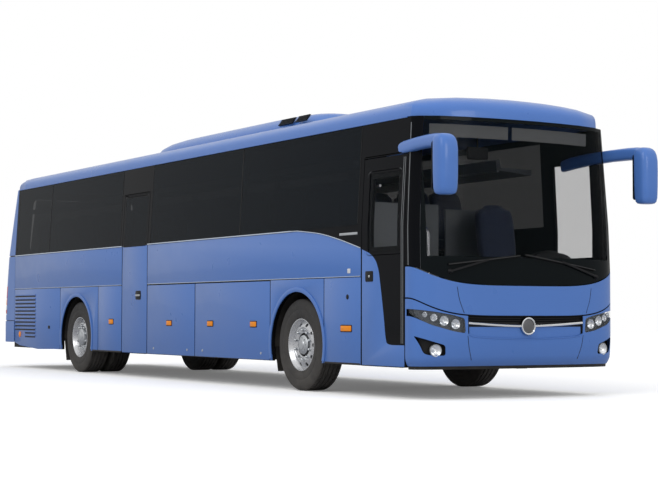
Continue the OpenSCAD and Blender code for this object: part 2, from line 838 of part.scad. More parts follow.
module hub(x, y, s, z0, z1, r, bore) {
    translate([x, y, axle_z])
        rotate([-90 * s, 0, 0])
            difference() {
                translate([0, 0, z0]) cylinder(r = r, h = z1 - z0);
                translate([0, 0, z0 - 1]) cylinder(r = bore, h = z1 - z0 + 2);
            }
}

module front_rim(s) {
    color("silver")
        union() {
            rim(front_x, s * wheel_y_front, s, 50, 100);
            hub(front_x, s * wheel_y_front, s, -20, 100, 105, 45 + spindle_gap);
        }
}

module rear_rims(s) {
    color("silver")
        union() {
            rim(rear_x, s * wheel_y_outer, s, -70, 100);
            rim(rear_x, s * wheel_y_inner, -s, -70, 100);
            hub(rear_x, s * wheel_y_outer, s, wheel_y_inner - wheel_y_outer - 20, 60, 120,
                bore_r + spindle_gap);
        }
}

// ---- equipment ----

module mirrors() {
    arm_y = half_w - 5;
    base_y = side_y(2580) + 0.3 + 18;
    head_x = x_nose + mirror_reach - 120;
    base_x = side_front_x - 330;
    color("cornflowerblue")
        for (s = [-1, 1]) {
            // arm from the panel over the door to ahead of the corner
            hull() {
                translate([base_x, s * base_y, 2650]) cube([160, 36, 130], center = true);
                translate([base_x + 420, s * arm_y, 2680]) cube([60, 70, 120], center = true);
            }
            hull() {
                translate([base_x + 420, s * arm_y, 2680]) cube([60, 70, 120], center = true);
                translate([head_x - 60, s * arm_y, 2640])
                    rotate([90, 0, 0])
                        cylinder(r = 60, h = 80, center = true, $fn = 24);
            }
            hull() {
                translate([head_x, s * arm_y, 2560]) sphere(r = 75, $fn = 24);
                translate([head_x - 60, s * arm_y, 2640])
                    rotate([90, 0, 0])
                        cylinder(r = 60, h = 80, center = true, $fn = 24);
                translate([head_x + 30, s * arm_y, 2480]) cylinder(r = 88, h = 60, $fn = 24);
            }
            hull() {
                translate([head_x + 30, s * arm_y, 2120]) cylinder(r = 88, h = 380, $fn = 24);
                translate([head_x + 30, s * arm_y, 2020]) cylinder(r = 60, h = 60, $fn = 24);
            }
        }
}

module wipers() {
    pivot_y = 930;
    pivot_z = 1235;
    reach = 720;
    rise = 110;
    blade = 820;
    pivot_t = asin((pivot_y / side_y(pivot_z)) ^ 1.5);
    x = x_nose + 8;
    color([0.05, 0.05, 0.05])
        for (s = [-1, 1]) {
            x0 = nose_pt(pivot_t, pivot_z)[0] + 2;
            translate([x0, s * pivot_y, pivot_z])
                rotate([0, 90, 0])
                    cylinder(r = 24, h = x + 20 - x0, $fn = 24);
            translate([x, s * pivot_y, pivot_z])
                rotate([-s * atan2(rise, reach), 0, 0])
                    translate([0, s > 0 ? -norm([rise, reach]) : 0, -9]) cube([14, norm([rise, reach]), 18]);
            translate([x - 6, s * (pivot_y - reach) - blade / 2, pivot_z + rise - 13]) cube([12, blade, 26]);
        }
}

wheel_tilt = 28;
steer_x = x_nose - 670;
steer_y = 650;
steer_z = 1420;
module dashboard() {
    color([0.14, 0.14, 0.15])
        union() {
            translate([0, inner_w - 120, 0])
                rotate([90, 0, 0])
                    linear_extrude(inner_w - 120 - driver_floor_y0)
                        polygon([
                            [x_nose - 420, cab_floor_z + 0.3], [x_nose - 560, 1250], [x_nose - 540, 1330],
                            [x_nose - 300, 1320], [x_nose - 250, 1200], [x_nose - 262, cab_floor_z + 0.3]
                        ]);
            box([x_nose - 600, steer_y - 340, 1300], [x_nose - 430, steer_y + 340, 1410]);
            // column
            translate([steer_x, steer_y, steer_z])
                rotate([0, 180 - wheel_tilt, 0])
                    translate([0, 0, 0.3]) cylinder(r = 40, h = 530);
        }
}

module steering_wheel() {
    color([0.05, 0.05, 0.05])
        translate([steer_x, steer_y, steer_z])
            rotate([0, 180 - wheel_tilt, 0])
                union() {
                    rotate_extrude($fn = 64) translate([220, 0]) circle(r = 14);
                    translate([0, 0, -30]) cylinder(r = 55, h = 30);
                    for (a = [0, 120, 240])
                        rotate([0, 0, a]) translate([20, -16, -14]) cube([195, 32, 12]);
                }
}

module seat_unit(w, back_lean) {
    // one seat, its front edge at x = 0 and its middle at y = 0
    translate([-430, -w / 2, 360]) cube([430, w, 110]);
    translate([-400, -w / 2, 430])
        rotate([0, -back_lean, 0])
            translate([-110, 0, 0]) cube([110, w, 740]);
}

module driver_seat() {
    color([0.16, 0.17, 0.2])
        translate([steer_x - 230, steer_y, cab_floor_z]) {
            seat_unit(500, 14);
            translate([-400, -180, 0.3]) cube([360, 360, 360]);
        }
}

seat_w = 440;
seat_front_x = driver_floor_x0 - 420;
seat_rows = floor((seat_front_x - side_back_x - 500) / seat_pitch);
module seat_pair(x, s) {
    y_in = aisle_w / 2;
    translate([x, 0, floor_z])
        union() {
            for (k = [0, 1])
                translate([0, s * (y_in + seat_w / 2 + k * (seat_w + 10)), 0]) seat_unit(seat_w, 14);
            translate([-360, s > 0 ? y_in + 60 : -y_in - 2 * seat_w + 50, 300])
                cube([300, 2 * seat_w - 110, 61]);
            for (y = [y_in + 210, y_in + 2 * seat_w - 170])
                translate([-260, s * y - 30, 0.3]) cube([60, 60, 305]);
        }
}

module passenger_seats() {
    color([0.2, 0.24, 0.34])
        for (k = [0:seat_rows], s = [-1, 1]) {
            x = seat_front_x - k * seat_pitch;
            if (s > 0 || x < mid_door_x0 - 20 || x > mid_door_x1 + 700) seat_pair(x, s);
        }
}

rack_z = 2440;
module luggage_racks() {
    color([0.4, 0.41, 0.43])
        for (s = [-1, 1])
            translate([side_back_x + 250, 0, 0])
                rotate([90, 0, 90])
                    linear_extrude(cab_floor_x0 - side_back_x - 500)
                        polygon([
                            [s * (side_y(rack_z) - wall_t - 0.3), rack_z], [s * 700, rack_z + 40],
                            [s * 690, rack_z + 150], [s * 740, rack_z + 160], [s * 760, rack_z + 70],
                            [s * (side_y(rack_z + 60) - wall_t - 0.3), rack_z + 60]
                        ]);
}

module partitions() {
    color([0.5, 0.5, 0.52]) {
        box([driver_floor_x0 - 60, 240, floor_z + 0.3], [driver_floor_x0 - 30, inner_w - 90, floor_z + 800]);
        box([cab_floor_x0 - 60, -inner_w + 90, floor_z + 0.3], [cab_floor_x0 - 30, -240, floor_z + 800]);
        box([mid_door_x1 + 40, -inner_w + 90, floor_z + 0.3], [mid_door_x1 + 70, -440, floor_z + 800]);
    }
}

// ---- doors ----

// leaf panel of a door between x0 and x1, with a recess and an opening for its pane
module door_leaf(x0, x1, z0, pane) {
    difference() {
        side_layer(-1, x0 + seam, x1 - seam, z0, door_top_z - seam, 0, wall_t);
        pane_cuts(-1, pane[0], pane[1], pane[2], pane[3]);
    }
}

// arm end bracket on the leaf with its pin, at height z
module leaf_bracket(x, z) {
    y_in = -half_w + wall_t;
    y_pin = y_in + leaf_pin_inset;
    box([x - 30, y_in - 10, z - 50], [x + 30, y_pin + 25, z - 25.3]);
    box([x - 30, y_in - 10, z + 25.3], [x + 30, y_pin + 25, z + 50]);
    translate([x, y_pin, z - 40]) cylinder(r = pin_r, h = 80);
}

arm_levels = [850, 1350];
leaf_pin_y = -half_w + wall_t + leaf_pin_inset;
front_post_x = front_door_x1 - 90;
mid_post_x = mid_door_x0 + 90;

// cranked arm in plan: post at the origin, leaf pivot at [dir * arm_reach, 0]
module crank(dir) {
    path = [[0, 0], [dir * 110, 150], [dir * 200, 150], [dir * arm_reach, 0]];
    for (k = [0:2]) {
        d = path[k + 1] - path[k];
        a = atan2(d[1], d[0]);
        translate([path[k][0], path[k][1], 0])
            rotate([0, 0, a])
                translate([0, -16, -16]) cube([norm(d), 32, 32]);
    }
    for (k = [1, 2]) translate([path[k][0], path[k][1], -17]) cylinder(r = 19, h = 34);
}

module door_arm(post_x, dir) {
    color([0.3, 0.31, 0.33])
        translate([post_x, leaf_pin_y, 0])
            difference() {
                union() {
                    translate([0, 0, 430.3]) cylinder(r = post_r, h = 1960);
                    for (z = arm_levels) {
                        translate([0, 0, z]) crank(dir);
                        translate([dir * arm_reach, 0, z - 25]) cylinder(r = 24, h = 50);
                    }
                }
                for (z = arm_levels)
                    translate([dir * arm_reach, 0, z - 60]) cylinder(r = pin_r + spindle_gap, h = 120);
            }
}

front_pane = [front_door_x0 + 120, front_door_x1 - 110, 1490, 2310];
module front_door_leaf() {
    color("cornflowerblue")
        union() {
            door_leaf(front_door_x0, front_door_x1, skirt_z, front_pane);
            for (z = arm_levels) leaf_bracket(front_post_x - arm_reach, z);
        }
}

module door_pane(p) {
    in = seam / 4 + 0.3;
    side_layer(-1, p[0] + in, p[1] - in, p[2] + in, p[3] - in, 0, glass_t);
}

module front_door_glass() {
    color([0.05, 0.06, 0.07]) door_pane(front_pane);
}

module front_door_arm() {
    door_arm(front_post_x, -1);
}

mid_pane = [mid_door_x0 + 60, mid_door_x1 - 60, belt_z + 10, door_top_z - 40];
module mid_door_leaf() {
    color("cornflowerblue")
        union() {
            door_leaf(mid_door_x0, mid_door_x1, skirt_z, mid_pane);
            for (z = arm_levels) leaf_bracket(mid_post_x + arm_reach, z);
        }
}

module mid_door_glass() {
    color([0.05, 0.06, 0.07]) door_pane(mid_pane);
}

module mid_door_arm() {
    door_arm(mid_post_x, 1);
}

// flap with its hinge barrels along the upper edge
module flap(side, x0, x1) {
    barrel = 120;
    color("cornflowerblue")
        union() {
            side_layer(side, x0 + seam / 2, x1 - seam / 2, skirt_z, flap_z - seam - 4, 0, wall_t - 10);
            for (x = [x0 + 150, x1 - 150 - barrel]) {
                translate([x, side * flap_hinge_y, flap_hinge_z])
                    rotate([0, 90, 0])
                        cylinder(r = hinge_r, h = barrel);
                translate([x, side * flap_hinge_y - 3, flap_z - seam - 5])
                    cube([barrel, 6, flap_hinge_z - flap_z + seam + 5]);
            }
        }
}

front_chassis_frame();
bay_chassis_frame();
rear_chassis_frame();
cabin_floor();
luggage_bay();
wheel_housings();
roof_panel();
right_side_wall();
left_side_wall();
rear_wall();
front_mask();
front_bumper();
corner_pillars();
windshield();
right_side_glass();
left_side_glass();
rear_window();
grille();
headlights();
fog_lights();
tail_lights();
side_markers();
air_conditioner();
mirrors();
wipers();
dashboard();
driver_seat();
passenger_seats();
luggage_racks();
partitions();
engine_block();
fuel_tank();
mudflaps();
air_springs();
front_axle();
rear_axle();
steering_wheel();
knuckle(1);  // knuckle_left
knuckle(-1);  // knuckle_right
front_rim(1);  // front_rim_left
front_tyre(1);  // front_tyre_left
front_rim(-1);  // front_rim_right
front_tyre(-1);  // front_tyre_right
rear_rims(1);  // rear_rims_left
rear_tyres(1);  // rear_tyres_left
rear_rims(-1);  // rear_rims_right
rear_tyres(-1);  // rear_tyres_right
front_door_leaf();
front_door_glass();
front_door_arm();
mid_door_leaf();
mid_door_glass();
mid_door_arm();
flap(-1, flap_split_x, bay_x1);  // luggage_flap_right_front
flap(-1, bay_x0, flap_split_x);  // luggage_flap_right_rear
flap(1, flap_split_x, bay_x1);  // luggage_flap_left_front
flap(1, bay_x0, flap_split_x);  // luggage_flap_left_rear
engine_hatch();
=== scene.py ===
"""Looks of a blue single-deck coach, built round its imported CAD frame.

X runs forward, Y to the left, Z up, in metres. Painted skins, glass, lamps, trim, seats and tyres are
modelled here; the walls, floor, chassis, axles and hinges are the CAD nodes with finishes of their own.
"""
import math

import bmesh
import bpy
import numpy as np
from mathutils import Matrix, Vector


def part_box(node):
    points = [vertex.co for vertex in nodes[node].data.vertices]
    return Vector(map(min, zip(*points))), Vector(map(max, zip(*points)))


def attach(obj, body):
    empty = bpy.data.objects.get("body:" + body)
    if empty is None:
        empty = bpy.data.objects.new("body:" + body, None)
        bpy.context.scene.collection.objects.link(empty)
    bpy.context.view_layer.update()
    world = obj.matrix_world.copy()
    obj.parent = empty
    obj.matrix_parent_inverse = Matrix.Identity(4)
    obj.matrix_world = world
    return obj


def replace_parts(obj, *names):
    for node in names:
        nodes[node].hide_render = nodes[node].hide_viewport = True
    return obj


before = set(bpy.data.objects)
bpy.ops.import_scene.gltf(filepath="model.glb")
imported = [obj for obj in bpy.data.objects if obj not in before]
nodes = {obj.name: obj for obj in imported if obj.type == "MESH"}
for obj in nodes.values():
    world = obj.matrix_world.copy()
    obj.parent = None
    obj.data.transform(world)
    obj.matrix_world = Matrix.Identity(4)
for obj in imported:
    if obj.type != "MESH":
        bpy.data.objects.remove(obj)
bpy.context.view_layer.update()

# ---- sizes taken from the frame ----

wall_low, wall_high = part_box("right_side_wall")
X_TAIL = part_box("rear_wall")[0].x
X_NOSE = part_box("front_bumper")[1].x
HALF_W = -wall_low.y
SKIRT_Z = wall_low.z
CANT_Z = wall_high.z
SIDE_FRONT_X = wall_high.x
SIDE_BACK_X = wall_low.x
NOSE_END_X = SIDE_FRONT_X + 0.015
FLAP_GAP = 0.005
BAY_X0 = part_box("luggage_flap_right_rear")[0].x - FLAP_GAP
FLAP_SPLIT_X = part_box("luggage_flap_right_front")[0].x - FLAP_GAP
BAY_X1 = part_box("luggage_flap_right_front")[1].x + FLAP_GAP
FRONT_DOOR = [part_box("front_door_leaf")[k].x for k in (0, 1)]
MID_DOOR = [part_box("mid_door_leaf")[k].x for k in (0, 1)]
DOOR_SEAM = 0.010
tyre_low, tyre_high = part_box("front_tyre_right")
FRONT_AXLE_X = (tyre_low.x + tyre_high.x) / 2
REAR_AXLE_X = sum(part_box("rear_tyres_right")[k].x for k in (0, 1)) / 2
TYRE_R = (tyre_high.z - tyre_low.z) / 2
TYRE_W = tyre_high.y - tyre_low.y
AXLE_Z = TYRE_R
FLOOR_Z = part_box("cabin_floor")[1].z
SIDES = ((-1, "right"), (1, "left"))

# ---- shape of the body, as the CAD has it ----

BELT_Z = 1.780
SIDE_LEAN = 0.060
NOSE_LEAN, NOSE_LEAN_Z = 0.040, 1.300
NOSE_POWER_LOW, NOSE_POWER_HIGH = 3, 2
CHIN_TUCK, CHIN_TUCK_Z, CHIN_TUCK_RUN = 0.060, 0.700, 0.400
TAIL_LEAN, TAIL_LEAN_Z = 0.350, 0.900
TAIL_DEPTH = 0.250
CORNER_POWER = 2 / 3
ROOF_RISE = 0.250
ROOF_FRONT_RUN, ROOF_BACK_RUN = 0.620, 0.380
ARCH_R = 0.590
CHIN_Z = 0.335
TAIL_LOW_Z = 0.400
SCREEN_LOW_Z, SCREEN_RISE = 1.150, 0.185
HOOD_LOW_Z, HOOD_RISE = 0.835, 0.180
SCREEN_EDGE_DEG = 68
WRAP_DEG = 91
ROOF_POINTS = 96


def lerp(a, b, k):
    """Value a share k of the way from a to b."""
    return a + (b - a) * k


def clamp(v, low=0.0, high=1.0):
    """Value held between two limits."""
    return max(low, min(high, v))


def side_out(z):
    """Half width of the body at height z."""
    return HALF_W - SIDE_LEAN * clamp((z - BELT_Z) / (CANT_Z - BELT_Z))


def nose_share(z):
    """How far height z is on the way from the straight nose to the cant rail."""
    return clamp((z - NOSE_LEAN_Z) / (CANT_Z - NOSE_LEAN_Z))


def nose_x(z):
    """Foremost x of the nose at height z: it leans back above and tucks in at the chin."""
    return X_NOSE - NOSE_LEAN * nose_share(z) - CHIN_TUCK * clamp((CHIN_TUCK_Z - z) / CHIN_TUCK_RUN) ** 2


def nose_point(t, z):
    """Point of the nose at t degrees round the corner; past 90 it runs back to the side wall."""
    n = lerp(NOSE_POWER_LOW, NOSE_POWER_HIGH, nose_share(z))
    depth = nose_x(z) - NOSE_END_X
    a = math.radians(min(abs(t), 90))
    x = NOSE_END_X + depth * max(math.cos(a), 0) ** (2 / n)
    if abs(t) > 90:
        x = lerp(NOSE_END_X, SIDE_FRONT_X + 0.004, abs(t) - 90)
    y = side_out(z) * math.sin(a) ** (2 / n)
    return Vector((x, math.copysign(y, t), z))


def tail_x(z):
    """Rearmost x of the tail at height z."""
    return X_TAIL + TAIL_LEAN * clamp((z - TAIL_LEAN_Z) / (CANT_Z - TAIL_LEAN_Z)) ** 1.25


def tail_point(t, z):
    """Point of the tail at t degrees round the corner; past 90 it runs on to the side wall."""
    a = math.radians(min(abs(t), 90))
    x = tail_x(z) + TAIL_DEPTH - TAIL_DEPTH * max(math.cos(a), 0) ** CORNER_POWER
    if abs(t) > 90:
        x = lerp(tail_x(z) + TAIL_DEPTH, SIDE_BACK_X - 0.002, abs(t) - 90)
    y = side_out(z) * math.sin(a) ** CORNER_POWER
    return Vector((x, math.copysign(y, t), z))


def even_angles(point, z):
    """Fractions of the way round a corner curve, and the angle at each."""
    angles = np.concatenate([[-WRAP_DEG], np.linspace(-90, 90, 361), [WRAP_DEG]])
    places = np.array([point(t, z)[:2] for t in angles])
    run = np.concatenate([[0], np.cumsum(np.linalg.norm(np.diff(places, axis=0), axis=1))])
    return run / run[-1], angles


NOSE_WAY = even_angles(nose_point, 1.0)
TAIL_WAY = even_angles(tail_point, 1.0)


def angle_at(way, share, span=None):
    """Angle at a share of the way round, or of the part of it between two angles."""
    if span is not None:
        ends = np.interp(span, way[1], way[0])
        share = lerp(ends[0], ends[1], share)
    return float(np.interp(share, way[0], way[1]))


def screen_low(t):
    """Lower edge of the windscreen, which rises towards the corners."""
    return SCREEN_LOW_Z + SCREEN_RISE * abs(math.sin(math.radians(clamp(t, -90, 90)))) ** 3


def hood_low(t):
    """Seam between the hood and the bumper."""
    return HOOD_LOW_Z + HOOD_RISE * abs(math.sin(math.radians(clamp(t, -90, 90)))) ** 3.4


def roof_ring(slope, offset):
    """Closed plan ring of the roof at a slope angle, moved out by offset."""
    a = math.radians(slope)
    c, s = max(math.cos(a), 0) ** CORNER_POWER, math.sin(a) ** CORNER_POWER
    w = (side_out(CANT_Z) + offset) * c
    z = CANT_Z + (ROOF_RISE + offset) * s
    depth = nose_x(CANT_Z) - NOSE_END_X
    front = nose_x(CANT_Z) + offset - ROOF_FRONT_RUN * (1 - c)
    back = tail_x(CANT_Z) - offset + ROOF_BACK_RUN * (1 - c)
    dense = []
    for k in range(0, 91):
        t = math.radians(-90 + 2 * k)
        dense.append((front - depth + depth * math.cos(t), w * math.sin(t), z))
    for k in range(0, 91):
        t = math.radians(90 - 2 * k)
        turn = max(math.cos(t), 0) ** CORNER_POWER
        dense.append((back + TAIL_DEPTH * (1 - turn), math.copysign(w * abs(math.sin(t)) ** CORNER_POWER, t), z))
    dense.append(dense[0])
    dense = np.array(dense)
    run = np.concatenate([[0], np.cumsum(np.linalg.norm(np.diff(dense, axis=0), axis=1))])
    at = np.linspace(0, run[-1], ROOF_POINTS, endpoint=False)
    return [Vector([float(np.interp(d, run, dense[:, k])) for k in range(3)]) for d in at]


def plan_normal(point, t, z, step=0.4):
    """Level normal of a corner curve at t degrees."""
    return (point(t + step, z) - point(t - step, z)).cross(Vector((0, 0, 1))).normalized()


def skin_point(point, t, z, out, middle_x):
    """Point of a corner curve, moved out from a middle point of the body along its normal."""
    p = point(t, z)
    n = Vector((0, t, 0)).normalized() if abs(t) >= 89 else plan_normal(point, t, z)
    if n.dot(Vector((p.x - middle_x, p.y, 0))) < 0:
        n = -n
    return p + n * out


def nose_normal(t, z, step=0.4):
    """Level normal of the nose that points forward."""
    n = plan_normal(nose_point, t, z, step)
    return -n if n.x < 0 else n


def nose_angle(y, z):
    """Angle on the nose at which a point of width y lies at height z."""
    power = lerp(NOSE_POWER_LOW, NOSE_POWER_HIGH, nose_share(z))
    share = clamp(abs(y) / side_out(z))
    return math.copysign(math.degrees(math.asin(clamp(share ** (power / 2)))), y)


def edge_height(edge, t):
    """Height of a skin's edge at t degrees: a number, or a function of t."""
    return edge(t) if callable(edge) else edge


# ---- shader groups: what more than one finish uses ----

def new_group(name, inputs, outputs):
    """Empty shader group with its sockets."""
    group = bpy.data.node_groups.new(name, "ShaderNodeTree")
    for label, kind, value in inputs:
        socket = group.interface.new_socket(label, in_out="INPUT", socket_type=kind)
        socket.default_value = value
    for label, kind in outputs:
        group.interface.new_socket(label, in_out="OUTPUT", socket_type=kind)
    ins = group.nodes.new("NodeGroupInput")
    outs = group.nodes.new("NodeGroupOutput")
    return group, ins, outs


def add_node(tree, kind, links=None, **values):
    """A node with its properties and unlinked sockets set, and its inputs linked."""
    node = tree.nodes.new(kind)
    for key, value in values.items():
        if key in node.inputs:
            node.inputs[key].default_value = value
        elif hasattr(node, key):
            setattr(node, key, value)
        else:
            node.inputs[key.replace("_", " ")].default_value = value
    for key, source in (links or {}).items():
        tree.links.new(source, node.inputs[key])
    return node


def maths(tree, operation, first, second=None):
    """Output of a maths node over sockets or numbers."""
    node = tree.nodes.new("ShaderNodeMath")
    node.operation = operation
    for k, value in enumerate((first, second)):
        if value is None:
            continue
        if isinstance(value, (int, float)):
            node.inputs[k].default_value = value
        else:
            tree.links.new(value, node.inputs[k])
    return node.outputs[0]


def group_drift():
    """Slow change of a colour over the surface, as in sprayed paint or moulded plastic."""
    group, ins, outs = new_group(
        "colour_drift",
        [("Colour", "NodeSocketColor", (0.5, 0.5, 0.5, 1)), ("Scale", "NodeSocketFloat", 3.0),
         ("Amount", "NodeSocketFloat", 0.1)],
        [("Colour", "NodeSocketColor")])
    place = add_node(group, "ShaderNodeTexCoord")
    noise = add_node(group, "ShaderNodeTexNoise", {"Vector": place.outputs["Object"], "Scale": ins.outputs["Scale"]},
                     Detail=3.0)
    centred = maths(group, "SUBTRACT", noise.outputs["Fac"], 0.5)
    swing = maths(group, "MULTIPLY", centred, ins.outputs["Amount"])
    value = maths(group, "ADD", swing, 1.0)
    shade = add_node(group, "ShaderNodeHueSaturation", {"Color": ins.outputs["Colour"], "Value": value})
    group.links.new(shade.outputs["Color"], outs.inputs["Colour"])
    return group


def group_dust_and_shade():
    """Mask that thickens towards the ground and breaks up in patches: road dust, and on the blue paint also painted
    shade for the darker lower body.
    """
    group, ins, outs = new_group(
        "road_dust_and_shade",
        [("Clean above", "NodeSocketFloat", 0.7), ("Amount", "NodeSocketFloat", 0.4),
         ("Patch scale", "NodeSocketFloat", 6.0)],
        [("Mask", "NodeSocketFloat")])
    place = add_node(group, "ShaderNodeTexCoord")
    split = add_node(group, "ShaderNodeSeparateXYZ", {"Vector": place.outputs["Object"]})
    share = maths(group, "DIVIDE", split.outputs["Z"], ins.outputs["Clean above"])
    low = add_node(group, "ShaderNodeMath", {0: maths(group, "SUBTRACT", 1.0, share)}, operation="MAXIMUM")
    low.inputs[1].default_value = 0.0
    noise = add_node(group, "ShaderNodeTexNoise",
                     {"Vector": place.outputs["Object"], "Scale": ins.outputs["Patch scale"]}, Detail=5.0)
    patchy = maths(group, "MULTIPLY", low.outputs[0], noise.outputs["Fac"])
    mask = maths(group, "MULTIPLY", patchy, ins.outputs["Amount"])
    limited = add_node(group, "ShaderNodeClamp", {"Value": mask})
    group.links.new(limited.outputs[0], outs.inputs["Mask"])
    return group


def group_grain():
    """Height of a fine moulded or cast grain."""
    group, ins, outs = new_group(
        "fine_grain",
        [("Scale", "NodeSocketFloat", 300.0)],
        [("Height", "NodeSocketFloat")])
    place = add_node(group, "ShaderNodeTexCoord")
    noise = add_node(group, "ShaderNodeTexNoise", {"Vector": place.outputs["Object"], "Scale": ins.outputs["Scale"]},
                     Detail=2.0)
    group.links.new(noise.outputs["Fac"], outs.inputs["Height"])
    return group


def group_weave():
    """Height and thread mask of a plain woven cloth."""
    group, ins, outs = new_group(
        "cloth_weave",
        [("Threads", "NodeSocketFloat", 500.0)],
        [("Height", "NodeSocketFloat"), ("Thread", "NodeSocketFloat")])
    place = add_node(group, "ShaderNodeTexCoord")
    split = add_node(group, "ShaderNodeSeparateXYZ", {"Vector": place.outputs["Object"]})
    waves = []
    for axis in ("X", "Y", "Z"):
        turns = maths(group, "MULTIPLY", split.outputs[axis], ins.outputs["Threads"])
        waves.append(maths(group, "SINE", turns))
    height = maths(group, "ADD", maths(group, "MULTIPLY", waves[0], waves[1]), waves[2])
    group.links.new(height, outs.inputs["Height"])
    half = maths(group, "MULTIPLY", height, 0.25)
    group.links.new(maths(group, "ADD", half, 0.5), outs.inputs["Thread"])
    return group


DRIFT, DUST_AND_SHADE, GRAIN, WEAVE = group_drift(), group_dust_and_shade(), group_grain(), group_weave()
# colour the ground mask darkens towards: road dust, and on the blue paint painted shade
DUST_AND_SHADE_COLOUR = (0.23, 0.21, 0.185, 1)


def place_group(tree, group, **values):
    """Shader group placed in a tree, with its values set."""
    node = tree.nodes.new("ShaderNodeGroup")
    node.node_tree = group
    for key, value in values.items():
        node.inputs[key.replace("_", " ")].default_value = value
    return node


def make_finish(name, colour, roughness, metallic=0.0, specular=0.5, drift=(3.0, 0.12), dust_and_shade=None,
                grain=None, coat=0.0, rough_swing=0.12):
    """A painted, moulded or metal finish: drifting colour, uneven gloss, grain, and darkening towards the ground that
    is road dust and, on the blue paint, partly painted shade.
    """
    mat = bpy.data.materials.new(name)
    mat.use_nodes = True
    tree = mat.node_tree
    shader = tree.nodes["Principled BSDF"]
    shader.inputs["Metallic"].default_value = metallic
    shader.inputs["Specular IOR Level"].default_value = specular
    shader.inputs["Coat Weight"].default_value = coat
    shader.inputs["Coat Roughness"].default_value = 0.04
    paint = place_group(tree, DRIFT, Scale=drift[0], Amount=drift[1])
    paint.inputs["Colour"].default_value = (*colour, 1)
    colour_out = paint.outputs["Colour"]
    place = add_node(tree, "ShaderNodeTexCoord")
    uneven = add_node(tree, "ShaderNodeTexNoise", {"Vector": place.outputs["Object"]}, Scale=drift[0] * 4, Detail=4.0)
    rough = add_node(tree, "ShaderNodeMapRange", {"Value": uneven.outputs["Fac"]})
    rough.inputs["To Min"].default_value = clamp(roughness * (1 - rough_swing * 2))
    rough.inputs["To Max"].default_value = clamp(roughness * (1 + rough_swing * 2))
    rough_out = rough.outputs["Result"]
    # darker towards the ground: road dust, and on the blue paint painted shade for the lower body
    if dust_and_shade:
        layer = place_group(tree, DUST_AND_SHADE, Clean_above=dust_and_shade[0], Amount=dust_and_shade[1])
        blend = add_node(tree, "ShaderNodeMix", data_type="RGBA")
        tree.links.new(layer.outputs["Mask"], blend.inputs["Factor"])
        tree.links.new(colour_out, blend.inputs[6])
        blend.inputs[7].default_value = DUST_AND_SHADE_COLOUR
        colour_out = blend.outputs[2]
        duller = maths(tree, "MULTIPLY", layer.outputs["Mask"], 0.5)
        rough_out = maths(tree, "ADD", rough_out, duller)
    tree.links.new(colour_out, shader.inputs["Base Color"])
    tree.links.new(rough_out, shader.inputs["Roughness"])
    if grain:
        texture = place_group(tree, GRAIN, Scale=grain[0])
        bump = add_node(tree, "ShaderNodeBump", {"Height": texture.outputs["Height"]}, Distance=0.001)
        bump.inputs["Strength"].default_value = grain[1]
        tree.links.new(bump.outputs["Normal"], shader.inputs["Normal"])
    return mat


def make_glass(name, colour, alpha, specular, clear_zone=None):
    """Tinted sheet glass. clear_zone is (half width, low z, high z) inside a black printed border."""
    mat = make_finish(name, colour, 0.02, specular=specular, drift=(1.5, 0.2), rough_swing=0.3)
    tree = mat.node_tree
    shader = tree.nodes["Principled BSDF"]
    if clear_zone is None:
        shader.inputs["Alpha"].default_value = alpha
        return mat
    half, low, high = clear_zone
    place = add_node(tree, "ShaderNodeTexCoord")
    split = add_node(tree, "ShaderNodeSeparateXYZ", {"Vector": place.outputs["Object"]})
    across = maths(tree, "ABSOLUTE", split.outputs["Y"])
    soft = 0.012
    pane = alpha
    for value, start, end in ((across, half, half + soft), (split.outputs["Z"], high, high + soft),
                              (split.outputs["Z"], low, low - soft)):
        edge = add_node(tree, "ShaderNodeMapRange", {"Value": value})
        edge.inputs["From Min"].default_value = start
        edge.inputs["From Max"].default_value = end
        pane = maths(tree, "MAXIMUM", edge.outputs[0], pane)
    tree.links.new(pane, shader.inputs["Alpha"])
    return mat


